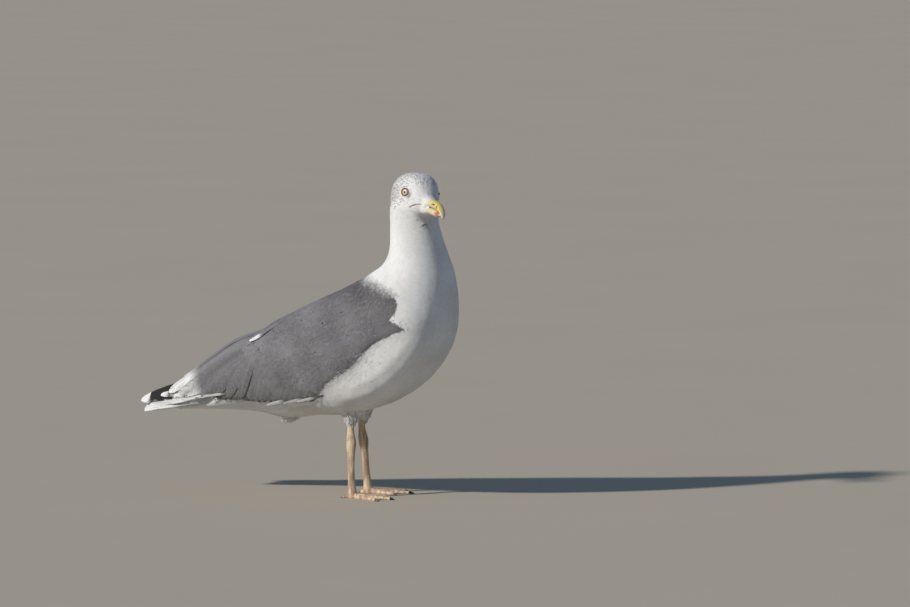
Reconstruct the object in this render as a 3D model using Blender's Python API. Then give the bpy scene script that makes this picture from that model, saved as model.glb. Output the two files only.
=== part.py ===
"""A yellow-legged gull at life size, standing at rest with its head turned to its right.

Metres, +Z up. The bird faces +X, its right side is -Y, and its middle plane is Y = 0. The shapes are built
round the point of the floor midway between its feet, and move_origin() then puts the origin under the
middle of the whole bird, on the floor.
"""

import math

import bmesh
import bpy
from mathutils import Matrix, Vector

# Clearances
GAP = 0.0003  # between neighbouring pieces
OVERRUN = 0.02  # how far a cutter passes what it cuts
BEHIND, ABOVE, ASIDE = -0.260, 0.300, 0.150  # outside the folded wings on each side

# Mesh sizes: steps along, sides around
TRUNK_MESH = (24, 24)
NECK_MESH = (9, 22)
HEAD_MESH = (15, 24)
BILL_MESH = (11, 14)
WING_MESH = (21, 24)
WING_EDGE_STEPS = 20
AIR_MESH = (7, 16)
WING_TIP_MESH = (9, 12)
TARSUS_MESH = (9, 12)
SHANK_MESH = (6, 12)
THIGH_MESH = (7, 14)
KNUCKLE_MESH = (3, 12)
EYE_MESH = (8, 12)
TAIL_STRIPS = 8  # strips across the tail
ROUND = 2.0  # the power of an ellipse
AIR_SQUARE = 2.3

# Head
HEAD_CENTRE = (0.0740, 0.0012, 0.3716)
HEAD_YAW = math.radians(-49.3)  # turned to the bird's right
HEAD_PITCH = math.radians(3.4)  # bill a little below level
HEAD_ROLL = math.radians(-8.5)  # right cheek lifted
EYE_RADIUS = 0.0074
EYE_PLACE = (0.0125, 0.0167, -0.0005)  # in the head's own frame, right side mirrored
BILL_ROOT = 0.0500  # where the feathers end, ahead of the head's centre

# Legs and feet
FOOT_SPREAD = 0.030  # from the middle plane to each foot
TOE_TURN = math.radians(7)  # toes point a little outwards
SOLE_TO_TARSUS = 0.0085
HEEL = 0.0660  # height of the joint that bends backwards
SHANK_TOP = 0.0945
WEB = 0.0014  # thickness of the skin between the toes

# Each row is one cross-section, cut where the back and the belly face each other:
# back x, back z, belly x, belly z, half width, and how far the widest point sits towards the belly
BODY = (
    (-0.240, 0.1045, -0.240, 0.1000, 0.0070, 0.00),
    (-0.222, 0.1100, -0.222, 0.1005, 0.0135, 0.00),
    (-0.198, 0.1170, -0.200, 0.1010, 0.0200, 0.00),
    (-0.168, 0.1300, -0.176, 0.1015, 0.0270, 0.00),
    (-0.142, 0.1600, -0.150, 0.1010, 0.0345, 0.00),
    (-0.122, 0.2010, -0.120, 0.0985, 0.0415, 0.00),
    (-0.090, 0.2200, -0.090, 0.0930, 0.0490, 0.05),
    (-0.055, 0.2370, -0.052, 0.0975, 0.0572, 0.15),
    (-0.022, 0.2520, -0.008, 0.1010, 0.0645, 0.28),
    (0.006, 0.2665, 0.042, 0.1150, 0.0690, 0.32),
    (0.022, 0.2765, 0.086, 0.1440, 0.0692, 0.24),
    (0.0335, 0.2850, 0.114, 0.1830, 0.0645, 0.16),
    (0.0405, 0.2960, 0.1240, 0.2240, 0.0530, 0.05),
    (0.0425, 0.3090, 0.1212, 0.2700, 0.0405, 0.00),
    (0.0420, 0.3230, 0.1090, 0.3060, 0.0325, 0.00),
    (0.0418, 0.3400, 0.1000, 0.3360, 0.0280, 0.00),
    (0.0430, 0.3560, 0.0965, 0.3560, 0.0255, 0.00),
    (0.0500, 0.3680, 0.0900, 0.3680, 0.0185, 0.00),
)
NECK_CUT = 12.0  # row where the trunk ends and the neck starts

# The two folded wings as one smooth cover, before the trunk is taken out of it. Same columns but the last.
FOLDED_WINGS = (
    (-0.242, 0.1250, -0.242, 0.1190, 0.0090),
    (-0.238, 0.1295, -0.238, 0.1160, 0.0145),
    (-0.226, 0.1370, -0.226, 0.1110, 0.0205),
    (-0.207, 0.1495, -0.207, 0.1060, 0.0260),
    (-0.182, 0.1695, -0.182, 0.1000, 0.0320),
    (-0.152, 0.1908, -0.152, 0.0940, 0.0395),
    (-0.118, 0.2012, -0.118, 0.0900, 0.0480),
    (-0.075, 0.2110, -0.075, 0.0900, 0.0575),
    (-0.035, 0.2220, -0.035, 0.0930, 0.0655),
    (0.005, 0.2340, 0.005, 0.1020, 0.0715),
    (0.040, 0.2440, 0.040, 0.1180, 0.0745),
    (0.070, 0.2440, 0.070, 0.1480, 0.0705),
    (0.088, 0.2360, 0.088, 0.1780, 0.0625),
    (0.097, 0.2250, 0.097, 0.1950, 0.0520),
)
FEATHER_PILE = 0.0050  # thickness of the wings where they meet over the rump, with air beneath
AIR_SPACE = (-0.2215, -0.1255)  # from and to, along X
AIR_FLOOR = 0.080  # the space is open downwards, and this is below everything there
# The wing's outline seen from the side: x, z. The free edge runs from the bend under the breast feathers to
# the tip, and the upper edge is where the back's feathers cover it. Behind that the wings meet over the rump.
WING_EDGE = (
    (0.092, 0.212),
    (0.070, 0.203),
    (0.043, 0.194),
    (0.026, 0.178),
    (0.009, 0.159),
    (-0.018, 0.142),
    (-0.038, 0.122),
    (-0.078, 0.1145),
    (-0.126, 0.1140),
    (-0.165, 0.1190),
    (-0.205, 0.1180),
    (-0.245, 0.1190),
)
WING_UPPER_EDGE = (
    (-0.1245, 0.196),
    (-0.1205, 0.183),
    (-0.110, 0.175),
    (-0.085, 0.1735),
    (-0.060, 0.1755),
    (-0.035, 0.1830),
    (-0.010, 0.1915),
    (0.015, 0.2000),
    (0.040, 0.2080),
    (0.065, 0.2125),
    (0.088, 0.2135),
)

# Wing tips: centre x, y, z, half height, half thickness, and lean of the blade away from upright
WING_TIP = (
    (-0.150, 0.0220, 0.1340, 0.0130, 0.0024, 42),
    (-0.190, 0.0190, 0.1300, 0.0165, 0.0026, 42),
    (-0.222, 0.0165, 0.1230, 0.0170, 0.0026, 42),
    (-0.243, 0.0138, 0.1185, 0.0158, 0.0022, 42),
    (-0.260, 0.0118, 0.1148, 0.0122, 0.0018, 42),
    (-0.2735, 0.0098, 0.1120, 0.0074, 0.0014, 42),
    (-0.2800, 0.0085, 0.1102, 0.0028, 0.0010, 42),
)

# Tail: x, half width, height of its edges, rise of its middle, thickness
TAIL = (
    (-0.158, 0.0200, 0.1180, 0.0080, 0.0050),
    (-0.185, 0.0230, 0.1130, 0.0090, 0.0048),
    (-0.215, 0.0255, 0.1075, 0.0095, 0.0042),
    (-0.245, 0.0275, 0.1015, 0.0095, 0.0034),
    (-0.262, 0.0280, 0.0985, 0.0090, 0.0026),
    (-0.270, 0.0245, 0.0970, 0.0080, 0.0020),
    (-0.2735, 0.0170, 0.0975, 0.0070, 0.0018),
)
TAIL_THINNING = 0.6  # share of its thickness that it loses at its edges

# Head in its own frame: x, crown z, chin z, half width
HEAD = (
    (-0.0340, 0.0010, -0.0170, 0.0060),
    (-0.0310, 0.0090, -0.0220, 0.0150),
    (-0.0240, 0.0170, -0.0270, 0.0220),
    (-0.0130, 0.0216, -0.0300, 0.0256),
    (0.0000, 0.0232, -0.0305, 0.0262),
    (0.0120, 0.0222, -0.0288, 0.0225),
    (0.0210, 0.0186, -0.0264, 0.0192),
    (0.0290, 0.0122, -0.0245, 0.0160),
    (0.0360, 0.0062, -0.0233, 0.0132),
    (0.0430, 0.0008, -0.0222, 0.0102),
    (0.0497, -0.0018, -0.0207, 0.0082),
)
CHEEK = 0.08  # the head is widest this share of its half height below its middle
HEAD_SQUARE = 2.6  # 2 is an ellipse, and more is boxier

# Bill in the head's frame: upper x, upper z, lower x, lower z, half width
BILL_UPPER = (
    (BILL_ROOT, -0.0021, BILL_ROOT, -0.0119, 0.0074),
    (0.0580, -0.0025, 0.0580, -0.0122, 0.0064),
    (0.0665, -0.0033, 0.0665, -0.0127, 0.0057),
    (0.0755, -0.0056, 0.0750, -0.0137, 0.0050),
    (0.0836, -0.0098, 0.0820, -0.0151, 0.0042),
    (0.0894, -0.0154, 0.0872, -0.0175, 0.0031),
    (0.0920, -0.0211, 0.0900, -0.0216, 0.0016),
)
BILL_LOWER = (
    (BILL_ROOT, -0.0122, BILL_ROOT, -0.0204, 0.0072),
    (0.0580, -0.0125, 0.0580, -0.0206, 0.0061),
    (0.0665, -0.0130, 0.0660, -0.0211, 0.0053),
    (0.0745, -0.0140, 0.0735, -0.0213, 0.0046),
    (0.0815, -0.0154, 0.0800, -0.0200, 0.0036),
    (0.0862, -0.0177, 0.0849, -0.0190, 0.0022),
)

# One leg, from the sole up: z, x, y, half depth fore and aft, half width
LEG = (
    (SOLE_TO_TARSUS, 0.0010, FOOT_SPREAD, 0.0060, 0.0046),
    (0.0130, 0.0006, 0.0297, 0.0054, 0.0038),
    (0.0220, 0.0000, 0.0290, 0.0045, 0.0031),
    (0.0400, -0.0010, 0.0272, 0.0044, 0.0030),
    (0.0540, -0.0018, 0.0252, 0.0050, 0.0035),
    (0.0600, -0.0022, 0.0241, 0.0060, 0.0045),
    (HEEL, -0.0024, 0.0232, 0.0065, 0.0048),
    (0.0720, -0.0028, 0.0222, 0.0058, 0.0044),
    (0.0790, -0.0034, 0.0213, 0.0046, 0.0036),
    (0.0870, -0.0040, 0.0206, 0.0042, 0.0034),
    (SHANK_TOP, -0.0040, 0.0202, 0.0044, 0.0036),
)
THIGH = (
    (SHANK_TOP + GAP, -0.0040, 0.0202, 0.0064, 0.0056),
    (0.1010, -0.0036, 0.0208, 0.0100, 0.0084),
    (0.1100, -0.0010, 0.0228, 0.0155, 0.0126),
    (0.1220, 0.0040, 0.0258, 0.0225, 0.0172),
    (0.1400, 0.0100, 0.0290, 0.0300, 0.0215),
)

# Toes in the foot's frame: name, angle from straight ahead (outwards), length to the claw's tip
TOES = (("outer", 27, 0.053), ("middle", 1, 0.058), ("inner", -25, 0.045))
TOE_WIDTH = 0.0062
TOE_HEIGHT = 0.0068
TOE_ARCH = (20, 55, 90, 125, 160)  # where round its top a toe's section has its points, in degrees
TOE_FLANK = 0.8  # its half width at the floor, as a share of that of the arch
CLAW = 0.0060
STAGGER = 0.0003  # between the toes' hidden ends and bottoms, so that no two faces coincide
WEB_SAG = 0.24  # how far the web's free edge curves in between two toes, as a share of their length
WEB_ROOT = (0.002, 0.0035)  # where the web starts beside the knuckle
WEB_STEPS = 6  # between two toes
KNUCKLE = (  # under the tarsus: z, x, y, half depth, half width
    (-0.0030, 0.0010, 0.0, 0.0070, 0.0058),
    (0.0035, 0.0008, 0.0, 0.0072, 0.0060),
    (SOLE_TO_TARSUS - GAP, 0.0000, 0.0, 0.0062, 0.0048),
)
HIND_TOE = 0.0160  # from under the tarsus to the tip of its claw, which touches the floor
HIND_TOE_SIZE = (1, 0.6, 0.55, 1)  # thinner and lower than the others
HIND_TOE_TURN = math.radians(22)  # inwards from straight behind
HIND_TOE_DIP = math.radians(9)
HIND_TOE_RISE = 0.0016

SIDES = {"right": -1, "left": 1}
COLOURS = {  # red, green, blue, roughness
    "white_plumage": (0.85, 0.84, 0.82, 0.85),
    "grey_plumage": (0.30, 0.30, 0.31, 0.80),
    "black_feathers": (0.02, 0.02, 0.02, 0.60),
    "bill_horn": (0.82, 0.62, 0.16, 0.35),
    "leg_skin": (0.70, 0.55, 0.33, 0.55),
    "eye": (0.75, 0.66, 0.42, 0.10),
}


def clear_scene():
    for obj in list(bpy.data.objects):
        bpy.data.objects.remove(obj, do_unlink=True)


def material(name):
    found = bpy.data.materials.get(name)
    if found:
        return found
    red, green, blue, roughness = COLOURS[name]
    made = bpy.data.materials.new(name)
    made.use_nodes = True
    shader = made.node_tree.nodes["Principled BSDF"]
    shader.inputs["Base Color"].default_value = (red, green, blue, 1)
    shader.inputs["Roughness"].default_value = roughness
    shader.inputs["Metallic"].default_value = 0
    made.diffuse_color = (red, green, blue, 1)
    return made


def smooth_row(rows, at):
    """The row at a place between 0 and len(rows) - 1, on a smooth curve through the rows."""
    last = len(rows) - 1
    first = min(int(at), last - 1)
    f = at - first
    near = [rows[min(max(first + k, 0), last)] for k in (-1, 0, 1, 2)]
    return tuple(
        0.5 * (2 * b + (c - a) * f + (2 * a - 5 * b + 4 * c - d) * f**2 + (3 * b - a - 3 * c + d) * f**3)
        for a, b, c, d in zip(*near)
    )


def oval(middle, up, across, sides, square=2.0, low=0.0):
    """A ring of points: up and across are the half axes, and low moves the widest point down."""
    points = []
    for k in range(sides):
        angle = math.tau * k / sides
        c, s = math.cos(angle), math.sin(angle)
        rise = math.copysign(abs(c) ** (2 / square), c)
        reach = math.copysign(abs(s) ** (2 / square), s)
        points.append(middle + up * (rise - low * reach**2) + across * reach)
    return points


def closed_mesh(name, rings, finish, smooth=True):
    """A closed body through rings that all have the same number of points, as a new object."""
    mesh = bpy.data.meshes.new(name)
    bm = bmesh.new()
    loops = [[bm.verts.new(p) for p in points] for points in rings]
    for near, far in zip(loops, loops[1:]):
        for k in range(len(near)):
            after = (k + 1) % len(near)
            bm.faces.new((near[k], near[after], far[after], far[k]))
    bm.faces.new(loops[0])
    bm.faces.new(loops[-1])
    bmesh.ops.recalc_face_normals(bm, faces=bm.faces)
    bmesh.ops.triangulate(bm, faces=bm.faces)
    bm.to_mesh(mesh)
    bm.free()
    if smooth:
        mesh.shade_smooth()
    mesh.materials.append(material(finish))
    obj = bpy.data.objects.new(name, mesh)
    bpy.context.scene.collection.objects.link(obj)
    return obj


def profile_loft(name, rows, start, end, mesh_size, finish, square=2.1):
    """A body whose rows give the two ends of each section in the plane Y = 0."""
    steps, sides = mesh_size
    rings = []
    for k in range(steps + 1):
        bx, bz, vx, vz, half_width, *low = smooth_row(rows, start + (end - start) * k / steps)
        back, belly = Vector((bx, 0, bz)), Vector((vx, 0, vz))
        across = Vector((0, half_width, 0))
        rings.append(oval((back + belly) / 2, (back - belly) / 2, across, sides, square, *low))
    return closed_mesh(name, rings, finish)


def grown(obj, by):
    """A hidden copy of obj's plain shape, larger by a distance all round, to cut its neighbours with."""
    mesh = obj.data.copy()
    bm = bmesh.new()
    bm.from_mesh(mesh)
    bm.normal_update()
    moves = [v.normal * by * v.calc_shell_factor() for v in bm.verts]
    for vertex, move in zip(bm.verts, moves):
        vertex.co += move
    bm.to_mesh(mesh)
    bm.free()
    cutter = bpy.data.objects.new(obj.name + "_cutter", mesh)
    bpy.context.scene.collection.objects.link(cutter)
    return hide(cutter)


def hide(cutter):
    cutter.hide_render = True
    cutter.display_type = "WIRE"
    return cutter


def boolean(obj, other, operation="DIFFERENCE"):
    made = obj.modifiers.new(f"{operation.lower()} {other.name}", "BOOLEAN")
    made.operation = operation
    made.solver = "EXACT"
    made.object = other
    return obj


def block(name, low, high):
    """A hidden box between two corners, for cutting with."""
    bpy.ops.mesh.primitive_cube_add(size=1)
    made = bpy.context.object
    made.name = name
    made.data.transform(Matrix.Diagonal([b - a for a, b in zip(low, high)]).to_4x4())
    made.data.transform(Matrix.Translation([(a + b) / 2 for a, b in zip(low, high)]))
    return hide(made)


def head_frame():
    turn = Matrix.Rotation(HEAD_YAW, 4, "Z") @ Matrix.Rotation(HEAD_PITCH, 4, "Y")
    return Matrix.Translation(HEAD_CENTRE) @ turn @ Matrix.Rotation(HEAD_ROLL, 4, "X")


def make_head():
    rings = []
    steps, sides = HEAD_MESH
    for k in range(steps + 1):
        x, top, bottom, half_width = smooth_row(HEAD, (len(HEAD) - 1) * k / steps)
        middle, up = Vector((x, 0, (top + bottom) / 2)), Vector((0, 0, (top - bottom) / 2))
        rings.append(oval(middle, up, Vector((0, half_width, 0)), sides, HEAD_SQUARE, CHEEK))
    head = closed_mesh("head", rings, "white_plumage")
    head.data.transform(head_frame())
    for side, sign in SIDES.items():
        boolean(head, grown(make_eye(side, sign), GAP))
    return head


def make_eye(side, sign):
    rings, segments = EYE_MESH
    bpy.ops.mesh.primitive_uv_sphere_add(segments=segments, ring_count=rings, radius=EYE_RADIUS)
    eye = bpy.context.object
    eye.name = "eye_" + side
    x, y, z = EYE_PLACE
    eye.data.transform(Matrix.Rotation(math.pi / 2, 4, "X"))
    eye.data.transform(head_frame() @ Matrix.Translation((x, y * sign, z)))
    eye.data.shade_smooth()
    eye.data.materials.append(material("eye"))
    return eye


def make_bill(name, rows):
    bill = profile_loft(name, rows, 0, len(rows) - 1, BILL_MESH, "bill_horn", ROUND)
    bill.data.transform(head_frame())
    return bill


def make_trunk_and_neck(head):
    trunk = profile_loft("trunk", BODY, 0, NECK_CUT, TRUNK_MESH, "white_plumage")
    a, b = smooth_row(BODY, NECK_CUT), smooth_row(BODY, NECK_CUT + 1)
    spacing = math.hypot((b[0] + b[2] - a[0] - a[2]) / 2, (b[1] + b[3] - a[1] - a[3]) / 2)
    start = NECK_CUT + 2 * GAP / spacing
    neck = profile_loft("neck", BODY, start, len(BODY) - 1, NECK_MESH, "white_plumage")
    boolean(neck, grown(head, GAP))
    return trunk, neck


def make_tail(trunk):
    """A closed fan: each section is an arch with a rounded edge at either side."""
    rings = []
    for x, half_width, edge, rise, thick in TAIL:
        upper, under = [], []
        for k in range(TAIL_STRIPS + 1):
            share = 2 * k / TAIL_STRIPS - 1
            arch = edge + rise * (1 - share**2)
            half = thick / 2 * (1 - TAIL_THINNING * share**6)
            upper.append(Vector((x, share * half_width, arch + half)))
            under.append(Vector((x, share * half_width, arch - half)))
        rings.append(upper + under[::-1])
    tail = closed_mesh("tail", rings, "white_plumage")
    return boolean(tail, grown(trunk, GAP))


def smooth_line(points):
    """The points of a wing's edge, on a smooth curve through them."""
    return [
        smooth_row(points, (len(points) - 1) * k / WING_EDGE_STEPS) for k in range(WING_EDGE_STEPS + 1)
    ]


def wing_outline(side, sign):
    """A prism that keeps the part of the folded wings inside the wing's outline, on one side of the bird."""
    edge = smooth_line(WING_EDGE)
    above = [(BEHIND, edge[-1][1]), (BEHIND, ABOVE), (WING_UPPER_EDGE[0][0], ABOVE)]
    outline = [Vector((x, 0, z)) for x, z in edge + above + smooth_line(WING_UPPER_EDGE)]
    near = [p + Vector((0, sign * GAP, 0)) for p in outline]
    far = [p + Vector((0, sign * ASIDE, 0)) for p in outline]
    return hide(closed_mesh("outline_" + side, [near, far], "grey_plumage", smooth=False))


def air_space(side):
    """The folded wings' shape behind the trunk, thinner by the pile of feathers and open below."""
    rear, front = AIR_SPACE
    rows = []
    for x, top, _, _, half_width in FOLDED_WINGS:
        if rear - OVERRUN < x < front + OVERRUN:
            rows.append((x, top - FEATHER_PILE, x, AIR_FLOOR, half_width - FEATHER_PILE))
    xs = [row[0] for row in rows]
    start, end = (place_in(xs, x) for x in (rear, front))
    return hide(profile_loft("air_space_" + side, rows, start, end, AIR_MESH, "grey_plumage", AIR_SQUARE))


def place_in(xs, x):
    """Where x comes in the growing list xs, counted in rows."""
    k = max(i for i, known in enumerate(xs[:-1]) if known <= x)
    return k + (x - xs[k]) / (xs[k + 1] - xs[k])


def make_wing(side, sign, trunk, tail):
    """The folded wing with the wing tip let into it."""
    wing = profile_loft(
        "wing_" + side, FOLDED_WINGS, 0, len(FOLDED_WINGS) - 1, WING_MESH, "grey_plumage"
    )
    boolean(wing, wing_outline(side, sign), "INTERSECT")
    boolean(wing, air_space(side))
    primaries = make_primaries(side, sign)
    for neighbour in (trunk, tail, primaries):
        boolean(wing, grown(neighbour, GAP))
    for neighbour in (trunk, tail):
        boolean(primaries, grown(neighbour, GAP))
    return wing


def make_primaries(side, sign):
    rings = []
    steps, sides = WING_TIP_MESH
    for k in range(steps + 1):
        x, y, z, half_height, half_thick, lean = smooth_row(WING_TIP, (len(WING_TIP) - 1) * k / steps)
        tilt = math.radians(lean)
        up = Vector((0, -sign * math.sin(tilt), math.cos(tilt))) * half_height
        out = Vector((0, sign * math.cos(tilt), math.sin(tilt))) * half_thick
        rings.append(oval(Vector((x, sign * y, z)), up, out, sides))
    return closed_mesh("primaries_" + side, rings, "black_feathers")


def upright_loft(name, rows, start, end, mesh_size, sign, finish):
    """A limb from rows of z, x, y, half depth and half width, with level sections."""
    steps, sides = mesh_size
    rings = []
    for k in range(steps + 1):
        z, x, y, depth, width = smooth_row(rows, start + (end - start) * k / steps)
        rings.append(oval(Vector((x, sign * y, z)), Vector((depth, 0, 0)), Vector((0, width, 0)), sides))
    return closed_mesh(name, rings, finish)


def make_leg(side, sign, trunk):
    joint = next(k for k, row in enumerate(LEG) if row[0] == HEEL)
    step_up = 2 * GAP / (LEG[joint + 1][0] - LEG[joint][0])
    upright_loft("tarsus_" + side, LEG, 0, joint, TARSUS_MESH, sign, "leg_skin")
    upright_loft("shank_" + side, LEG, joint + step_up, len(LEG) - 1, SHANK_MESH, sign, "leg_skin")
    thigh = upright_loft("thigh_" + side, THIGH, 0, len(THIGH) - 1, THIGH_MESH, sign, "white_plumage")
    boolean(thigh, grown(trunk, GAP))
    make_foot(side, sign)


def toe(name, length, start=0.0, below=0.002):
    """One toe along +X, thinning into its claw. It passes the floor, where the sole is cut."""
    rows = (  # x, half width and height as shares of TOE_WIDTH and TOE_HEIGHT
        (start, 0.45, 0.85),
        (0.0100, 0.50, 0.95),
        (0.45 * length, 0.42, 0.74),
        (0.72 * length, 0.38, 0.62),
        (length - CLAW, 0.32, 0.52),
        (length - 0.4 * CLAW, 0.16, 0.34),
        (length, 0.05, 0.10),
    )
    rings = []
    for x, half_width, height in rows:
        width, top = half_width * TOE_WIDTH, height * TOE_HEIGHT
        flank = width * TOE_FLANK
        arch = [(width * math.cos(math.radians(a)), top * math.sin(math.radians(a))) for a in TOE_ARCH]
        rings.append([Vector((x, y, z)) for y, z in [(flank, -below), *arch, (-flank, -below)]])
    return closed_mesh(name, rings, "leg_skin")


def web_outline(sign):
    """The skin between the toes seen from above: a slack curve from each toe's tip to the next."""
    tips = []
    for _, angle, length in TOES:
        turn = sign * math.radians(angle)
        tips.append(Vector((math.cos(turn), math.sin(turn), 0)) * (length - CLAW))
    root_x, root_y = WEB_ROOT
    outline = [Vector((root_x, sign * root_y, 0))]
    for near, far in zip(tips, tips[1:]):
        slack = (near + far) / 2 * (1 - WEB_SAG)
        for k in range(WEB_STEPS):
            f = k / WEB_STEPS
            outline.append(near * (1 - f) ** 2 + slack * 2 * f * (1 - f) + far * f**2)
    return outline + [tips[-1], Vector((root_x, -sign * root_y, 0))]


def make_foot(side, sign):
    """Three webbed toes on a flat sole, the knuckle under the tarsus, and the small hind toe."""
    outline = web_outline(sign)
    lifted = [p + Vector((0, 0, WEB)) for p in outline]
    dropped = [p - Vector((0, 0, WEB)) for p in outline]
    foot = closed_mesh("foot_" + side, [dropped, lifted], "leg_skin", smooth=False)
    pieces = []
    for k, (name, angle, length) in enumerate(TOES):
        piece = toe(f"toe_{name}_{side}", length, STAGGER * k, 2 * WEB + STAGGER * k)
        piece.data.transform(Matrix.Rotation(sign * math.radians(angle), 4, "Z"))
        pieces.append(piece)
    pieces.append(upright_loft("knuckle_" + side, KNUCKLE, 0, 2, KNUCKLE_MESH, 1, "leg_skin"))
    hind = toe("hind_toe_" + side, HIND_TOE)
    hind.data.transform(Matrix.Diagonal(HIND_TOE_SIZE))
    hind.data.transform(Matrix.Rotation(HIND_TOE_DIP, 4, "Y"))
    hind.data.transform(Matrix.Rotation(math.pi - sign * HIND_TOE_TURN, 4, "Z"))
    hind.data.transform(Matrix.Translation((0, 0, HIND_TOE_RISE)))
    pieces.append(hind)
    _, x, y = LEG[0][:3]
    place = Matrix.Translation((x, sign * y, 0)) @ Matrix.Rotation(sign * TOE_TURN, 4, "Z")
    foot.data.transform(place)
    for piece in pieces:
        piece.data.transform(place)
        boolean(foot, hide(piece), "UNION")
    return boolean(foot, block("floor_" + side, (-ASIDE, -ASIDE, -OVERRUN), (ASIDE, ASIDE, 0)))


def move_origin():
    """Shifts the whole bird so that the origin is on the floor under the middle of its box."""
    bpy.context.view_layer.update()
    graph = bpy.context.evaluated_depsgraph_get()
    corners = []
    for obj in bpy.data.objects:
        if not obj.hide_render:
            corners += [Vector(c) for c in obj.evaluated_get(graph).bound_box]
    middle = [(min(c[k] for c in corners) + max(c[k] for c in corners)) / 2 for k in (0, 1)]
    shift = Matrix.Translation((-middle[0], -middle[1], 0))
    for mesh in {obj.data for obj in bpy.data.objects}:
        mesh.transform(shift)


def main():
    clear_scene()
    head = make_head()
    make_bill("bill_upper", BILL_UPPER)
    make_bill("bill_lower", BILL_LOWER)
    trunk, _ = make_trunk_and_neck(head)
    tail = make_tail(trunk)
    for side, sign in SIDES.items():
        make_wing(side, sign, trunk, tail)
        make_leg(side, sign, trunk)
    move_origin()


main()
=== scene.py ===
"""The looks of a yellow-legged gull that stands at rest with its head turned to its right.

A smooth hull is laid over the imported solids. The skin lies inside it by the depth of the coat, and every
feather is a thin vane that starts at the skin and follows the hull along the lie of the plumage.
Metres, +Z up, the bird faces +X and its right side is -Y.
"""

import math

import bmesh
import bpy
import numpy as np
from mathutils import Matrix, Vector
from mathutils.bvhtree import BVHTree
from mathutils.kdtree import KDTree


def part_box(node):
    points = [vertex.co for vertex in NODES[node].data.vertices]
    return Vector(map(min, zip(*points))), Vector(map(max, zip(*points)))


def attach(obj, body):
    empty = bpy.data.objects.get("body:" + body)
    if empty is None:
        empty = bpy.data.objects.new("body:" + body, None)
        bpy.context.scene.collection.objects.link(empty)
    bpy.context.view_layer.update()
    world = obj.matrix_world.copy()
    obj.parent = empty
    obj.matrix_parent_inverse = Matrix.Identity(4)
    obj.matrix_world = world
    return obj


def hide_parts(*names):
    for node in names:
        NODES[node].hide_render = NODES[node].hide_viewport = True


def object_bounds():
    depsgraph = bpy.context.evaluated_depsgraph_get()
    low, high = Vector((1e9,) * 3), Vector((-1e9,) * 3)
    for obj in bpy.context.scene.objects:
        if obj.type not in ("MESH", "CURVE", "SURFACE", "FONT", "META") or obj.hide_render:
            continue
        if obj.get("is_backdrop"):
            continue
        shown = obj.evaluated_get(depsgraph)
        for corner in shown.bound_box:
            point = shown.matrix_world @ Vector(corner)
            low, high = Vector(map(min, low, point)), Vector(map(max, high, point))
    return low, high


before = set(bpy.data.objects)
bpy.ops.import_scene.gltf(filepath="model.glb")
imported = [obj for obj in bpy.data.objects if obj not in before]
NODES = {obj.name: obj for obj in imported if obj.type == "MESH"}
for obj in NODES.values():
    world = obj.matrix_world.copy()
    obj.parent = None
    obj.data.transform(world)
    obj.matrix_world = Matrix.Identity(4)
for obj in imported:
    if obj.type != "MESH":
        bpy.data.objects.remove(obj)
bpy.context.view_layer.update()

RNG = np.random.default_rng(11)

# Sizes of the hull and the skin
HULL_VOXEL = 0.0020
CLOSING = 0.0030  # gaps up to twice this are filled in the hull
REAR_VOXEL = 0.0016
REAR_CLOSING = 0.0045
BODY_FULLER = 0.0003  # makes good what the smoothing takes off
HEAD_FULLER = 0.0014
SKIN_VOXEL = 0.0026
COAT_DEPTH = 0.0034  # from the hull to the skin on the body
FACE_DEPTH = 0.0013  # and on the face
EYE_PLUG = 0.0062  # radius of the ball that fills each eye's hollow in the hull
EYE_PLUG_IN = 0.0022  # how far it sits inwards of the eye
NO_FULLER_FROM = 0.030  # forward in the head's frame: the hull isn't made fuller at the bill
NO_FULLER_FADE = 0.014
FOLD_BAND = (0.032, 0, -0.004)  # the fold before the wing lies within the grey's outline moved by this
FOLD_BAND_OUT = 0.02  # further out than this
FOLD_BAND_ABOVE = 0.118  # and above this, and it is smoothed so many times:
FOLD_SMOOTHING = 60
LEG_VOXEL = 0.0007
LEG_OVERRUN = 0.012  # how far the leg's skin runs up into the thigh
LEG_RIM = 0.001  # depth of the leg's top that is moved up
BARE_LEG_TOP = 0.094
CANDIDATES = 240000  # places tried for a feather
FREE_FROM, FREE_REACH = 0.001, 0.004  # along the normal, where nothing else of the hull may be
FOLD = 0.24  # a feather is kept short where the surface rises by this share of its length
FOLD_TOP = 0.27  # above this height no feather is kept short
SHORTENED = 0.45  # what is left of its length

# Head frame, from the eyes' solids
HEAD_YAW = math.radians(-49.3)
HEAD_PITCH = math.radians(3.4)
HEAD_ROLL = math.radians(-8.5)
EYE_PLACE = (0.0125, 0.0167, -0.0005)  # from the head's centre: forward, outward, up

# Eyes
EYE_AXIS = (0.54, 0.84, 0.03)  # forward, outward, up
EYE_BACK = 0.0009  # how far the eye sits behind its solid's centre
EYEBALL_RADIUS = 0.0068
EYEBALL_OUT = 0.0009  # from the eye solid's centre, along the axis
PUPIL_RADIUS = 0.0012
IRIS_RADIUS = 0.0040
LID_RADIUS = 0.0043
LID_THICKNESS = 0.00070
LID_LENGTH = 1.10  # along the head, as a share of their height
LID_OUT = 0.0063
RING_HEIGHT = 1.5  # of the lids and the rim, as a share of their thickness
RING_DIP = 0.00025  # they bend inwards by this at the front and the back, and outwards between
CRINKLES, CRINKLE_DEPTH = 26, 0.012
BROW_RADIUS = 0.0054  # the white rim of small feathers round the lids
BROW_THICKNESS = 0.00065
BROW_OUT = 0.0057

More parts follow.
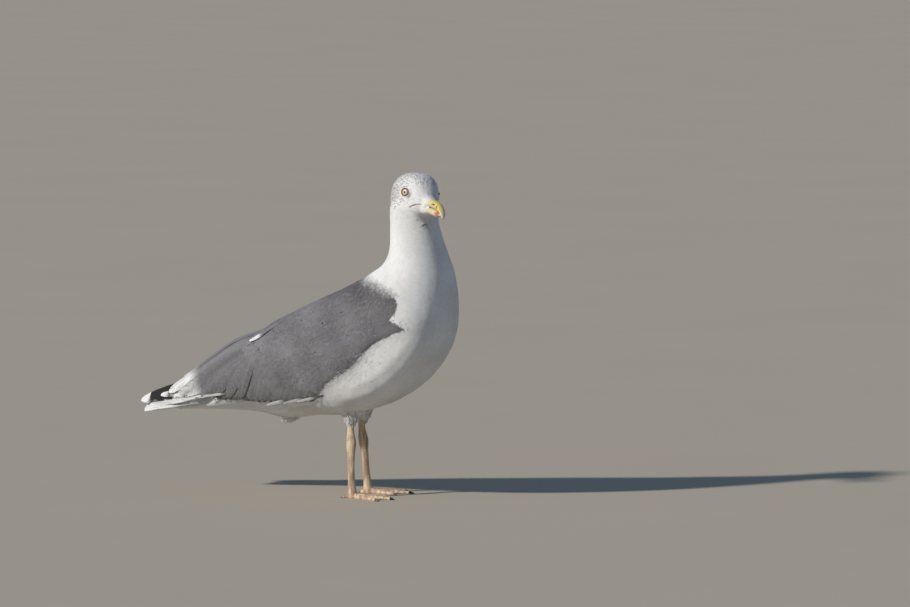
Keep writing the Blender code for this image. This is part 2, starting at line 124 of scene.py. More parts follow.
# The head's coat, in the head's own frame
EYE_OPENING = (0.0150, -0.0003)  # its middle: forward, up
EYE_CLEAR = 0.0056  # no feather starts nearer to the middle than this
EYE_OVERLAP = 0.0008  # how far the feathers before an eye reach over its rim
BEFORE_EYE = 0.002  # feathers further back than this behind its middle keep their length
SHORTEST = 0.0010  # and none is made shorter than this
FACE_SIDE = 0.012  # from the middle of the head: the eyes are further out, and the bill is within it
BILL_FROM = 0.0495  # forward: the bill is bare from here
FACE_REACH = 0.07  # from the head's centre, to the end of what counts as the face
CROWN_LENGTH, FACE_LENGTH = 0.0062, 0.0026  # of the feathers on the back of the head and at the bill
HEAD_REACH = 0.062  # from the head's centre, to the end of the head's coat
HEAD_BOTTOM = -0.040
HEAD_BLEND = 0.020
CHIN = (0.03, -0.036)  # forward, up: the coat before and above this is the head's
SOCKET = (0.0195, -0.0008, 0.0055)  # the hollow before the eye: forward, up, reach
SOCKET_DEPTH = 0.0014
SOCKET_OUT = 0.010  # it lies further out than this
CHEEK_REACH = 0.04  # from the head's centre: the eyes and the hollows before them are within it
# Soft brown patches: middle forward and up; reach forward and up; strength
# the patch before and below the eye is partly the winter mark, partly painted shade in the hollow there
EYE_SMUDGE_AND_SHADE = (0.0218, -0.0030), (0.0038, 0.00494), 0.85
EAR_PATCH = (0.0, -0.001), (0.015, 0.016), 1.15
NAPE_PATCH = (-0.022, -0.016), (0.014, 0.018), 0.50
CROWN_PATCH = (0.040, 0.008), (0.015, 0.008), 0.45  # behind and above this; how soon it is full; strength

# Bill, in the head's own frame: forward, up
BILL_VOXEL = 0.00038
BILL_FULLER = 0.00022
# the nostril is cut in and painted dark: painted shade in its opening
NOSTRIL = (0.0672, -0.0073)
NOSTRIL_SIZE = (0.0034, 0.00085)
NOSTRIL_DEPTH = 0.0012
NOSTRIL_OUT = 0.002  # it lies further out than this
NOSTRIL_RIM = (0.0677, -0.0091)
NOSTRIL_RIM_SIZE = (0.0042, 0.0008)
# the mouth line is painted darker: painted shade in the gap between the bill's two halves
MOUTH_ENDS = (0.056, 0.082)
MOUTH_HALF_WIDTH = 0.00045
MOUTH_FADE = 0.008
MOUTH_SHADE = 0.55
MOUTH_LINE = (
    (0.0500, -0.0120),
    (0.0580, -0.0123),
    (0.0660, -0.0129),
    (0.0750, -0.0139),
    (0.0818, -0.0153),
    (0.0870, -0.0176),
)
RED_SPOT = (0.0787, -0.0168)
RED_SPOT_SIZE = (0.0044, 0.0038)
RED_BELOW, RED_ABOVE = 0.85, 0.60  # how red it is on the lower half and on the upper
RED_SPOT_CORE = (0.0794, -0.0158)
RED_SPOT_CORE_SIZE = (0.0013, 0.0010)
RED_SPOT_DARK = 0.40
BILL_MARK = (0.0768, -0.0098)  # dark, above the red spot
BILL_MARK_SIZE = (0.0011, 0.0022)
BILL_MARK_DARK = 0.95
BILL_BASE = (0.068, -0.0045), (0.010, 0.003), 0.6  # paler behind and below this; how soon; strength
LOWER_PALE = 0.75
BILL_PALE_FROM = 0.0855
BILL_PALE_FADE = 0.004
# Where the feathers end on the sides of the upper half: up, forward
BILL_FEATHER_EDGE = (
    (-0.0205, 0.0530),
    (-0.0130, 0.0540),
    (-0.0110, 0.0550),
    (-0.0088, 0.0580),
    (-0.0060, 0.0590),
    (-0.0035, 0.0570),
    (-0.0015, 0.0520),
)
MUZZLE_VOXEL = 0.0008  # of the surface under the short feathers at the bill
MUZZLE_CLOSING = 0.0012
MUZZLE_CANDIDATES = 80000
MUZZLE_FROM = 0.044
MUZZLE_RAGGED = 0.0004
MUZZLE_SPACING = 0.00065
MUZZLE_LENGTH = 0.0030
MUZZLE_WIDTH = 0.30  # half width as a share of the length
MUZZLE_COAT = {"depth": 0.0003, "rise": 0.0005}
# The bare edge of the mouth: forward, up
GAPE_LINE = (
    (0.0238, -0.0168),
    (0.0289, -0.0149),
    (0.0322, -0.0131),
    (0.0352, -0.0119),
    (0.0392, -0.0110),
    (0.0429, -0.0108),
    (0.0465, -0.0110),
)
GAPE_STEPS = 20
GAPE_OUT = 0.0003  # how far its middle stands off the hull
GAPE_THIN, GAPE_SWELLING = 0.00012, 0.00042  # radius at its ends, and what is added between them

# Feet
SCUTE = 0.0034  # height of one ring of the leg's skin
TOE_VOXEL = 0.0005
CLAW_OVER_SKIN = 0.00015
# Each toe's direction from straight ahead, outwards in degrees, and the length of its claw
CLAWS = {"outer": (34, 0.0060), "middle": (8, 0.0060), "inner": (-18, 0.0055), "hind": (180, 0.0032)}

# Colours
WHITE = (0.745, 0.74, 0.73)
GREY = (0.165, 0.160, 0.168)
BLACK = (0.014, 0.013, 0.013)
STREAK = (0.13, 0.105, 0.095)
LEG_LIGHT = (0.66, 0.52, 0.34)
LEG_DARK = (0.38, 0.25, 0.17)
LEG_CREASE = (0.20, 0.13, 0.09)
BILL_YELLOW = (0.74, 0.58, 0.20)
BILL_OCHRE = (0.66, 0.50, 0.16)
BILL_PALE = (0.64, 0.57, 0.46)
BILL_RED = (0.52, 0.11, 0.05)
BILL_DARK = (0.045, 0.030, 0.020)
IRIS_INNER = (0.72, 0.60, 0.42)
IRIS_OUTER = (0.62, 0.46, 0.33)
LID_COLOURS = (0.05, 0.018, 0.012), (0.15, 0.045, 0.03)
GAPE_COLOURS = (0.20, 0.12, 0.08), (0.34, 0.22, 0.16)
CLAW_COLOURS = (0.030, 0.024, 0.020), (0.075, 0.060, 0.050)
FLOOR_COLOURS = (0.43, 0.375, 0.30), (0.46, 0.405, 0.33)
SKY_COLOUR = (0.46, 0.68, 1.0)
SKY_STRENGTH = 0.27
KEY_COLOUR = (1.0, 0.95, 0.88)
KEY_STRENGTH = 3.35

# Camera and light: azimuth from -Y towards +X, and elevation, in degrees
VIEW = (18, 4.5)
BETWEEN_FEET = (0.0741, -0.0001, 0.0)
AIM = (0.1171, 0.2342)  # from between the feet to the middle of the picture: right, up
CAMERA_DISTANCE = 8.5
LENS = 275.6
KEY_FROM = (-46, 31)
KEY_DISTANCE = 3
KEY_ANGLE = math.radians(3)
FLOOR_SIZE = 120

BODY_NODES = ("head", "neck", "trunk", "wing_left", "wing_right", "thigh_left", "thigh_right")
LEG_NODES = ("shank", "tarsus", "foot")
SIDES = {"right": -1, "left": 1}

# Where the grey of the back and the wings ends, seen from the side: x, z
GREY_OUTLINE = (
    (-0.300, 0.310),
    (0.074, 0.310),
    (0.079, 0.268),
    (0.092, 0.2640),
    (0.112, 0.2600),
    (0.128, 0.2530),
    (0.1415, 0.2450),
    (0.1440, 0.2380),
    (0.1420, 0.2295),
    (0.1345, 0.2205),
    (0.1450, 0.2160),
    (0.1560, 0.2106),
    (0.1397, 0.2033),
    (0.1170, 0.1924),
    (0.1003, 0.1770),
    (0.0822, 0.1583),
    (0.0539, 0.1409),
    (0.0440, 0.1290),
    (0.0340, 0.1195),
    (0.0000, 0.1165),
    (-0.0420, 0.1145),
    (-0.0900, 0.1160),
    (-0.1300, 0.1175),
    (-0.300, 0.1175),
)

# Where the plumage stands loose: place x, |y|, z; reach; how far the tips stand off
LOOSE = (
    ((0.071, 0.024, 0.103), 0.013, 0.0010),
    ((0.052, 0.040, 0.118), 0.016, 0.0008),
    ((0.030, 0.040, 0.112), 0.016, 0.0008),
    ((-0.012, 0.008, 0.096), 0.012, 0.0010),
    ((0.110, 0.066, 0.190), 0.018, 0.0004),
    ((0.085, 0.064, 0.160), 0.020, 0.0004),
)

# Long feathers of the right side, mirrored for the left:
# root x, |y|, z; tip x, |y|, z; half width; then the tone of a tertial, or the length of a white end. The
# darkest tertial tone is painted shadow.
TERTIALS = (
    ((-0.050, 0.012, 0.205), (-0.1480, 0.0075, 0.1370), 0.0100, 1.5),
    ((-0.050, 0.026, 0.195), (-0.1640, 0.0150, 0.1185), 0.0115, 2.0),
    # this tertial's dark tone is painted shadow: the line of shade between the near and the far wing's
    # tertials
    ((-0.049, 0.033, 0.186), (-0.1500, 0.0215, 0.1172), 0.0115, -6.0),
    ((-0.048, 0.036, 0.184), (-0.1390, 0.0260, 0.1165), 0.0100, 0.0),
    ((-0.048, 0.038, 0.182), (-0.1210, 0.0290, 0.1160), 0.0090, 1.5),
    ((-0.047, 0.040, 0.180), (-0.1030, 0.0330, 0.1185), 0.0085, -1.0),
    ((-0.046, 0.041, 0.177), (-0.0830, 0.0370, 0.1190), 0.0080, 1.0),
    ((-0.044, 0.042, 0.173), (-0.0650, 0.0410, 0.1195), 0.0080, -0.5),
)
TERTIAL_STACKS = (0.0030, 0.0020)  # how far the first and the last lie over the body
CRESCENT = (-0.1235, 0.1280, -0.55)  # the white of the tertials ends here: x at a height z, and its slope
CRESCENT_FADE = 0.022
CRESCENT_GREY = 0.22  # share of grey left in its white
CRESCENT_APEX = (-0.1610, 0.1195)  # its point towards the tail
CRESCENT_BOTTOM = 0.1162
SCAPULARS = (
    ((-0.0145, 0.020, 0.2135), (-0.0560, 0.0285, 0.1855), 0.0040, 0.015),
)
EDGE_FEATHERS = (
    ((0.012, 0.052, 0.1225), (-0.0290, 0.0440, 0.1140), 0.0022, 0.022),
    ((0.036, 0.057, 0.1245), (-0.0060, 0.0505, 0.1160), 0.0022, 0.024),
    ((0.056, 0.060, 0.1275), (0.0130, 0.0550, 0.1185), 0.0020, 0.022),
    ((-0.074, 0.034, 0.1255), (-0.1140, 0.0300, 0.1212), 0.0015, 0.024),
)
WHITE_TIP_STACK = 0.0022
TAIL_SIDE = (
    ((-0.098, 0.034, 0.1155), (-0.1905, 0.0245, 0.1010), 0.0056),
    ((-0.098, 0.033, 0.1105), (-0.1935, 0.0245, 0.0985), 0.0046),
)
TAIL_SIDE_STACKS = np.array([0.0022, 0.0016])
TAIL_FEATHERS = 6  # to each side of the middle
TAIL_ROOT = (-0.106, 0.0015, 0.1195)  # of the feathers nearest the middle
TAIL_TIP = (-0.1985, 0.0020, 0.0995)
TAIL_STEPS = (0.0030, 0.0044)  # from each root, and each tip, to the next one outwards
TAIL_ROUNDING = 0.0003  # the outer ones are shorter by this
TAIL_HALF_WIDTH = 0.0068
TAIL_STACK = 0.0009  # of the feathers nearest the middle
TAIL_STACK_STEP = 0.00013  # each one outwards lies lower by this
TAIL_LAYERS = (("tail_upper", 0.010), ("tail_under", -0.010))  # name, and how far above the tail's middle
PRIMARIES = (
    ((-0.085, 0.035, 0.1165), (-0.1870, 0.0220, 0.1085), 0.0050, 0.0),
    ((-0.095, 0.035, 0.1215), (-0.2040, 0.0180, 0.1125), 0.0072, 0.0),
    ((-0.095, 0.035, 0.1260), (-0.1795, 0.0220, 0.1230), 0.0062, 0.0105),
    ((-0.095, 0.035, 0.1310), (-0.1690, 0.0220, 0.1265), 0.0060, 0.0),
)
PRIMARY_STACKS = np.array([0.0004, 0.0008, 0.0012, 0.0015])  # how far each lies over the core
CORE_INSET = 0.0003  # of the solid cores of the wing's tip and the tail
WING_TIP_VOXEL, TAIL_VOXEL = 0.0008, 0.0009
VANE_DEPTH = 0.0006  # how far the feathers' roots are sunk there
WHITE_BEHIND = -0.1938  # the wing's tip is white behind this
GREY_AHEAD = -0.086  # and grey before this
UPPER_BACK = 0.247  # the grey's edge is soft above this height
EDGE_SOFTNESS = 0.006
MANTLE, MANTLE_FADE = (0.01, 0.17), (0.08, 0.04)  # the back darkens ahead of and above this: x, z
MANTLE_DARKER = 5.0
# Lower edge of the black, seen from the side: x, z
BLACK_LOWER_EDGE = (
    (-0.1930, 0.1020),
    (-0.1780, 0.1075),
    (-0.1640, 0.1125),
    (-0.1450, 0.1150),
    (-0.1140, 0.1163),
    (-0.0960, 0.1170),
)
WING_SPOT = (-0.1835, 0.1098, 0.0036, 0.0016)  # grey-white, on the wing's tip: x, z, half length, half height
# Tips of the feathers along the wing's lower edge, seen from above: x, |y|
SECONDARY_TIPS = (
    (-0.100, 0.030),
    (-0.069, 0.030),
    (-0.042, 0.033),
    (-0.011, 0.046),
    (0.016, 0.050),
    (0.036, 0.045),
)
SECONDARY_STEP = 0.0080
SECONDARY_ROOT = (0.020, 0.008, 0.152)  # ahead of the tip, outside it, and height
SECONDARY_TIP_HEIGHT = 0.1165
SECONDARY_HALF_WIDTH = 0.0075
SECONDARY_STACKS = (0.0011, 0.0006)

# How the feathers of each coat lie, and the strands over it
HEAD_COAT = dict(depth=0.0018, plunge=4.5, rise=0.00004, roll=0.00005, camber=0.00005, softness=0.90)
BODY_COAT = dict(depth=0.0026, plunge=5.0, rise=0.00003, roll=0.00002, camber=0.00002, softness=0.97)
GREY_COAT = dict(depth=0.0028, plunge=3.0, rise=0.00020, roll=0.00006, camber=0.00010, softness=0.90)
STREAK_STRANDS = dict(depth=0.0006, stack=0.00022, rise=0.0001, roll=0.0)
LOOSE_STRANDS = dict(depth=0.0008, stack=0.0002, roll=0.0)
TUFT_STRANDS = dict(depth=0.0010, stack=0.0003, rise=0.0006, roll=0.0001, hang=1.0, softness=0.15)
STREAK_LENGTH, STREAK_HALF_WIDTH = 0.0050, 0.00042
TUFT_SPACING = 0.0009
TUFT_SCATTER = 0.0016
TUFT_HALF_WIDTH = 0.0007
# tone added to the hanging tufts: painted light that brightens them where they hang in shade
TUFT_PAINTED_LIGHT = 2.5
COAT_STACK = 0.0001  # the feathers of a coat lie up to this far over each other
LENGTH_SPREAD = 0.08
CLOUD_SIZE, CLOUD_STRENGTH = 0.014, 2.6  # lighter and darker places of the coats
MOST_STREAKED = 0.95
THROAT_TOP = 0.004  # no streaks where the height and the distance from the middle of the head add up to less

# Nearer places of the table below count more, by this power of the distance and the blur
LIE_BLUR, LIE_POWER = 0.004, 3.5
HEAD_DROOP, THROAT_DROOP = 0.25, 0.9  # how far down the head's feathers point, and more low on it
THROAT_FRONT = 0.02

# The lie of the plumage on the right side, mirrored for the left:
# place x, |y|, z; direction forward, outward, up; length of the feathers
LIE = (
    ((0.083, 0.000, 0.330), (-0.25, 0.0, -1.0), 0.0085),
    ((0.100, 0.030, 0.320), (-0.12, 0.0, -1.0), 0.0085),
    ((0.135, 0.000, 0.310), (0.05, 0.0, -1.0), 0.0085),
    ((0.085, 0.000, 0.290), (-0.45, 0.0, -0.9), 0.0100),
    ((0.100, 0.045, 0.275), (-0.30, 0.1, -1.0), 0.0105),
    ((0.150, 0.000, 0.270), (0.10, 0.0, -1.0), 0.0100),
    ((0.145, 0.045, 0.250), (-0.25, 0.0, -1.0), 0.0110),
    ((0.190, 0.000, 0.220), (-0.10, 0.0, -1.0), 0.0115),
    ((0.170, 0.050, 0.200), (-0.45, 0.0, -0.9), 0.0120),
    ((0.175, 0.000, 0.160), (-0.70, 0.0, -0.7), 0.0120),
    ((0.140, 0.050, 0.165), (-0.85, 0.0, -0.5), 0.0130),
    ((0.120, 0.000, 0.120), (-1.0, 0.0, -0.1), 0.0120),
    ((0.095, 0.045, 0.140), (-0.90, 0.1, -0.5), 0.0140),
    ((0.075, 0.035, 0.115), (-0.35, 0.0, -1.0), 0.0120),
    ((0.060, 0.000, 0.100), (-1.0, 0.0, 0.0), 0.0120),
    ((0.020, 0.020, 0.098), (-1.0, 0.0, -0.1), 0.0140),
    ((-0.004, 0.012, 0.098), (-0.8, 0.0, -0.6), 0.0150),
    ((-0.060, 0.010, 0.098), (-1.0, 0.0, 0.0), 0.0150),
    ((-0.140, 0.000, 0.102), (-1.0, 0.0, 0.0), 0.0150),
    ((0.060, 0.000, 0.257), (-0.88, 0.0, -0.5), 0.0200),
    ((0.100, 0.045, 0.240), (-0.65, 0.0, -0.8), 0.0190),
    ((0.020, 0.000, 0.237), (-0.90, 0.0, -0.45), 0.0240),
    ((0.020, 0.050, 0.205), (-0.75, 0.0, -0.65), 0.0250),
    ((-0.030, 0.020, 0.205), (-0.88, 0.0, -0.5), 0.0270),
    ((0.125, 0.066, 0.213), (-0.75, 0.0, -0.65), 0.0130),
    ((0.090, 0.066, 0.190), (-0.60, 0.0, -0.8), 0.0180),
    ((0.050, 0.064, 0.165), (-0.55, 0.0, -0.85), 0.0230),
    ((0.020, 0.055, 0.130), (-0.60, 0.0, -0.8), 0.0240),
    ((-0.030, 0.050, 0.150), (-0.62, 0.0, -0.8), 0.0270),
    ((-0.050, 0.040, 0.125), (-0.75, 0.0, -0.65), 0.0260),
    ((-0.090, 0.030, 0.165), (-0.88, 0.0, -0.48), 0.0280),
    ((-0.130, 0.020, 0.130), (-0.93, 0.0, -0.35), 0.0280),
)


def head_frame():
    """Head's own axes: +X to the bill's tip, +Y to its left cheek, +Z to its crown."""
    turn = Matrix.Rotation(HEAD_YAW, 4, "Z") @ Matrix.Rotation(HEAD_PITCH, 4, "Y")
    turn = turn @ Matrix.Rotation(HEAD_ROLL, 4, "X")
    corners = [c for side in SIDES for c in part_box("eye_" + side)]
    between_eyes = sum(corners, Vector()) / len(corners)
    x, _, z = EYE_PLACE
    return Matrix.Translation(between_eyes - turn @ Vector((x, 0, z))) @ turn


HEAD = head_frame()
HEAD_CENTRE = HEAD.translation
HEAD_AHEAD, HEAD_UP = np.array(HEAD.to_3x3())[:, 0], np.array(HEAD.to_3x3())[:, 2]


def only(obj):
    """Makes obj the one selected and active object."""
    bpy.ops.object.select_all(action="DESELECT")
    obj.select_set(True)
    bpy.context.view_layer.objects.active = obj
    return obj


def add_object(name, data):
    """A new object in the scene."""
    obj = bpy.data.objects.new(name, data)
    bpy.context.scene.collection.objects.link(obj)
    return obj


def add_shape(name, operator, **settings):
    """A new object from one of the plain shapes."""
    bpy.ops.object.select_all(action="DESELECT")
    operator(**settings)
    bpy.context.object.name = name
    return bpy.context.object


def values_of(items, key, width, kind=float):
    """One property of many vertices, triangles or corners, a row for each."""
    values = np.empty(len(items) * width, kind)
    items.foreach_get(key, values)
    return values.reshape(-1, width)


def vertex_places(obj):
    """The places of a mesh's vertices."""
    return values_of(obj.data.vertices, "co", 3)


def joined_copy(name, nodes, others=()):
    """One new object from copies of these CAD nodes and other objects."""
    bm = bmesh.new()
    for node in nodes:
        bm.from_mesh(NODES[node].data)
    for other in others:
        bm.from_mesh(other.data)
    bmesh.ops.remove_doubles(bm, verts=bm.verts, dist=1e-6)
    mesh = bpy.data.meshes.new(name)
    bm.to_mesh(mesh)
    bm.free()
    return add_object(name, mesh)


def finish_with(obj, kind, weights=None, **settings):
    """Adds one modifier and applies it, with a weight for each vertex if there are any."""
    only(obj)
    made = obj.modifiers.new(kind.lower(), kind)
    for key, value in settings.items():
        setattr(made, key, value)
    if weights is not None:
        group = obj.vertex_groups.new(name="weights")
        for index, weight in enumerate(weights):
            group.add([index], float(weight), "REPLACE")
        made.vertex_group = group.name
    bpy.ops.object.modifier_apply(modifier=made.name)
    obj.vertex_groups.clear()
    return obj


def remeshed(obj, voxel, smoothing):
    """Remeshes obj in one closed skin, and smooths it this many times."""
    finish_with(obj, "REMESH", mode="VOXEL", voxel_size=voxel)
    if smoothing:
        finish_with(obj, "SMOOTH", factor=0.5, iterations=smoothing)
    return obj


def keep_island(obj, score=len):
    """Removes every island of vertices but the one that scores highest."""
    bm = bmesh.new()
    bm.from_mesh(obj.data)
    bm.verts.ensure_lookup_table()
    seen, islands = set(), []
    for start in bm.verts:
        if start.index in seen:
            continue
        island, queue = [], [start]
        seen.add(start.index)
        while queue:
            vertex = queue.pop()
            island.append(vertex)
            for edge in vertex.link_edges:
                other = edge.other_vert(vertex)
                if other.index not in seen:
                    seen.add(other.index)
                    queue.append(other)
        islands.append(island)
    kept = set(max(islands, key=score))
    bmesh.ops.delete(bm, geom=[v for v in bm.verts if v not in kept], context="VERTS")
    bm.to_mesh(obj.data)
    bm.free()
    return obj


def displaced(obj, distance, weights=None):
    """Moves the surface outwards, by each vertex's weight if there are any."""
    return finish_with(obj, "DISPLACE", weights, strength=distance, mid_level=0.0, direction="NORMAL")


def closed_over(obj, voxel, gap, smoothing):
    """Remeshes obj and fills its hollows that are up to twice this gap wide."""
    remeshed(obj, voxel, 0)
    displaced(obj, gap)
    remeshed(obj, voxel, 0)
    displaced(obj, -gap)
    return remeshed(obj, voxel, smoothing)


def make_hull():
    """The smooth outside of the plumage, from the solids of the body."""
    hull = joined_copy("hull", BODY_NODES)
    x, y, z = EYE_PLACE
    plugs = []
    for sign in SIDES.values():
        place = HEAD @ Vector((x, sign * (y - EYE_PLUG_IN), z))
        plugs.append(add_shape("plug", bpy.ops.mesh.primitive_uv_sphere_add, radius=EYE_PLUG, location=place))
    only(hull)
    for plug in plugs:
        plug.select_set(True)
    bpy.ops.object.join()
    closed_over(hull, HULL_VOXEL, CLOSING, 6)
    keep_island(hull)
    points = vertex_places(hull)
    moved = side_of_outline(points - np.array(FOLD_BAND), GREY_OUTLINE)
    band = moved & ~side_of_outline(points, GREY_OUTLINE) & (np.abs(points[:, 1]) > FOLD_BAND_OUT)
    band &= points[:, 2] > FOLD_BAND_ABOVE
    finish_with(hull, "SMOOTH", band, factor=0.5, iterations=FOLD_SMOOTHING)
    finish_with(hull, "SMOOTH", factor=0.5, iterations=4)
    points = vertex_places(hull)
    ahead = np.clip((in_head(points)[:, 0] - NO_FULLER_FROM) / NO_FULLER_FADE, 0, 1)
    displaced(hull, 1.0, (BODY_FULLER + (HEAD_FULLER - BODY_FULLER) * head_share(points)) * (1 - ahead))
    local = in_head(vertex_places(hull))
    x, z, reach = SOCKET
    near = np.exp(-((local[:, 0] - x) ** 2 + (local[:, 2] - z) ** 2) / reach**2)
    on_side = (np.linalg.norm(local, axis=1) < CHEEK_REACH) & (np.abs(local[:, 1]) > SOCKET_OUT)
    return displaced(hull, -SOCKET_DEPTH, near * on_side)


def surface_of(obj):
    """The surface of a helper object, which is then removed."""
    made = Surface(obj)
    bpy.data.objects.remove(obj)
    return made


def make_rear():
    """One surface over the back, the wings' tips and the tail, with the gaps between them filled."""
    parts = joined_copy("rear", [*both("primaries"), "tail"], [hull])
    return surface_of(closed_over(parts, REAR_VOXEL, REAR_CLOSING, 4))


# ---------------------------------------------------------------- shape fields


def side_of_outline(points, outline):
    """True where a point, seen from the side, is inside the closed outline."""
    x, z = points[:, 0], points[:, 2]
    inside = np.zeros(len(points), bool)
    for (ax, az), (bx, bz) in zip(outline, outline[1:] + outline[:1]):
        if az == bz:
            continue
        crosses = (az > z) != (bz > z)
        inside ^= crosses & (x < (bx - ax) * (z - az) / (bz - az) + ax)
    return inside


def unit(vectors):
    """Each vector at length 1."""
    return vectors / np.maximum(np.linalg.norm(vectors, axis=-1, keepdims=True), 1e-12)


def cross_of(corners):
    """Two sides of each triangle multiplied: a vector along its normal, twice as long as its area."""
    return np.cross(corners[:, 1] - corners[:, 0], corners[:, 2] - corners[:, 0])


def flat_on(vectors, normals):
    """The part of each vector that lies in the surface, at length 1."""
    return unit(vectors - normals * (vectors * normals).sum(-1, keepdims=True))


def folded(points):
    """Points of both sides, all brought to the left."""
    return points * [1, 0, 1] + np.abs(points) * [0, 1, 0]


def in_head(points):
    """Points in the head's own frame."""
    inverse = np.array(HEAD.inverted())
    return points @ inverse[:3, :3].T + inverse[:3, 3]


def head_share(points):
    """1 on the head and 0 from the upper neck down."""
    local = in_head(points)
    above = np.clip((local[:, 2] - HEAD_BOTTOM) / HEAD_BLEND, 0, 1)
    away = np.linalg.norm(points - np.array(HEAD_CENTRE), axis=1)
    near = np.clip((HEAD_REACH - away) / HEAD_BLEND, 0, 1)
    at_chin = (local[:, 0] > CHIN[0]) & (local[:, 2] > CHIN[1]) & (away < HEAD_REACH)
    return np.where(at_chin, 1.0, above * near)


def waves(points, size, seed):
    """Smooth noise with a spread of about 1 and bumps about this size."""
    rng = np.random.default_rng(seed)
    ways = rng.standard_normal((16, 3)) / size
    turns = rng.uniform(0, 2 * math.pi, 16)
    return np.sin(points @ ways.T + turns).sum(axis=1) / math.sqrt(8)


LIE_PLACES = np.array([place for place, _, _ in LIE])
LIE_WAYS = np.array([way for _, way, _ in LIE])
LIE_LENGTHS = np.array([length for _, _, length in LIE])


def lie_of(points, normals):
    """Direction and length of the feathers at points of the body."""
    gaps = np.linalg.norm(folded(points)[:, None] - LIE_PLACES, axis=2)
    weights = 1 / (gaps + LIE_BLUR) ** LIE_POWER
    weights /= weights.sum(axis=1, keepdims=True)
    ways = weights @ LIE_WAYS
    ways[:, 1] *= np.sign(points[:, 1])
    lengths = weights @ LIE_LENGTHS
    local = in_head(points)
    low = np.clip(-local[:, 2] / 0.03, 0, 1)[:, None]
    droop = HEAD_DROOP + THROAT_DROOP * low * (local[:, :1] < THROAT_FRONT)
    head_way = -HEAD_AHEAD + np.array([0, 0, -1.0]) * droop
    share = head_share(points)[:, None]
    ways = share * unit(head_way) + (1 - share) * unit(ways)
    forward = np.clip(local[:, 0] / 0.045, 0, 1)
    head_lengths = CROWN_LENGTH - (CROWN_LENGTH - FACE_LENGTH) * forward
    lengths = share[:, 0] * head_lengths + (1 - share[:, 0]) * lengths
    return flat_on(ways, normals), lengths


# ---------------------------------------------------------------- the surface that feathers follow


class Surface:
    """A closed mesh that points can be laid on."""

    def __init__(self, obj):
        mesh = obj.data
        mesh.calc_loop_triangles()
        self.points = vertex_places(obj)
        self.triangles = values_of(mesh.loop_triangles, "vertices", 3, np.int64)
        self.loops = values_of(mesh.loop_triangles, "loops", 3, np.int64)
        self.normals = unit(values_of(mesh.vertices, "normal", 3)[self.triangles].mean(axis=1))
        self.areas = np.linalg.norm(cross_of(self.points[self.triangles]), axis=1) / 2
        self.tree = BVHTree.FromPolygons(self.points.tolist(), self.triangles.tolist())

    def lay(self, points):
        """The nearest points of the surface, with the smooth normals there and the triangles' numbers."""
        found, faces = np.empty_like(points), np.empty(len(points), np.int64)
        nearest = self.tree.find_nearest
        for k, point in enumerate(points.tolist()):
            place, _, face, _ = nearest(point)
            found[k] = place
            faces[k] = face
        return found, self.normals[faces], faces

    def scatter(self, count):
        """Points spread evenly over the whole surface, by chance."""
        faces = RNG.choice(len(self.areas), count, p=self.areas / self.areas.sum())
        a, b = RNG.random((2, count, 1))
        a, b = np.where(a + b > 1, 1 - a, a), np.where(a + b > 1, 1 - b, b)
        corners = self.points[self.triangles[faces]]
        places = corners[:, 0] + a * (corners[:, 1] - corners[:, 0]) + b * (corners[:, 2] - corners[:, 0])
        return places, self.normals[faces]


def spaced(points, spacing):
    """Indices of points that keep their own spacing from each other."""
    tree = KDTree(len(points))
    for k, point in enumerate(points.tolist()):
        tree.insert(point, k)
    tree.balance()
    free = np.ones(len(points), bool)
    kept = []
    for k, point in enumerate(points.tolist()):
        if free[k]:
            kept.append(k)
            for _, other, _ in tree.find_range(point, spacing[k]):
                free[other] = False
    return np.array(kept)


# ---------------------------------------------------------------- feather patterns


def feather_pattern(barbs, split, root_width=0.45, tip_power=3.0, columns=1, sweep=0.10):
    """A flat feather as points (along, across) and triangles. Barbs leave the shaft at a slant, joined as far
    as split and free beyond it, which gives the soft edge."""
    points, triangles, barb_of = [], [], []

    def edge(u):
        across = math.sqrt(max(0.0, 1 - u**tip_power)) * (root_width + (1 - root_width) * min(1.0, 2.4 * u))
        return sweep + (1 - sweep) * u, across

    def add(point, barb):
        points.append(point)
        barb_of.append(barb)
        return len(points) - 1

    for side in (-1, 1):
        for k in range(barbs):
            near, far = k / barbs, (k + 1) / barbs
            rows = []
            for u in (near, far):
                along, across = edge(u)
                shaft = 0.93 * u
                steps = [split * c / columns for c in range(columns + 1)]
                rows.append([(shaft + (along - shaft) * f, side * across * f) for f in steps])
            tip_along, tip_across = edge((near + far) / 2)
            barb = k + (barbs if side > 0 else 0)
            a = [add(point, barb) for point in rows[0]]
            b = [add(point, barb) for point in rows[1]]
            tip = add((tip_along, side * tip_across), barb)
            for c in range(columns):
                quad = (a[c], b[c], b[c + 1], a[c + 1])
                quad = quad if side > 0 else quad[::-1]
                triangles.append((quad[0], quad[1], quad[2]))
                triangles.append((quad[0], quad[2], quad[3]))
            last = (a[columns], b[columns], tip)
            triangles.append(last if side > 0 else last[::-1])
    return np.array(points), np.array(triangles), np.array(barb_of)


def row_weights(along, rows):
    """How much each row of control points counts at each place along a feather, on a smooth curve."""
    weights = np.zeros((len(along), rows))
    place = np.clip(along, 0, 1) * (rows - 1)
    first = np.minimum(place.astype(int), rows - 2)
    f = place - first
    basis = (
        -0.5 * f + f**2 - 0.5 * f**3,
        1 - 2.5 * f**2 + 1.5 * f**3,
        0.5 * f + 2 * f**2 - 1.5 * f**3,
        -0.5 * f**2 + 0.5 * f**3,
    )
    for k, share in enumerate(basis):
        row = np.clip(first + k - 1, 0, rows - 1)
        np.add.at(weights, (np.arange(len(along)), row), share)
    return weights


def across_weights(across):
    """How much the three control points of a row count at each place across a feather, on a smooth curve."""
    return np.stack([across * (across - 1) / 2, 1 - across**2, across * (across + 1) / 2], axis=1)


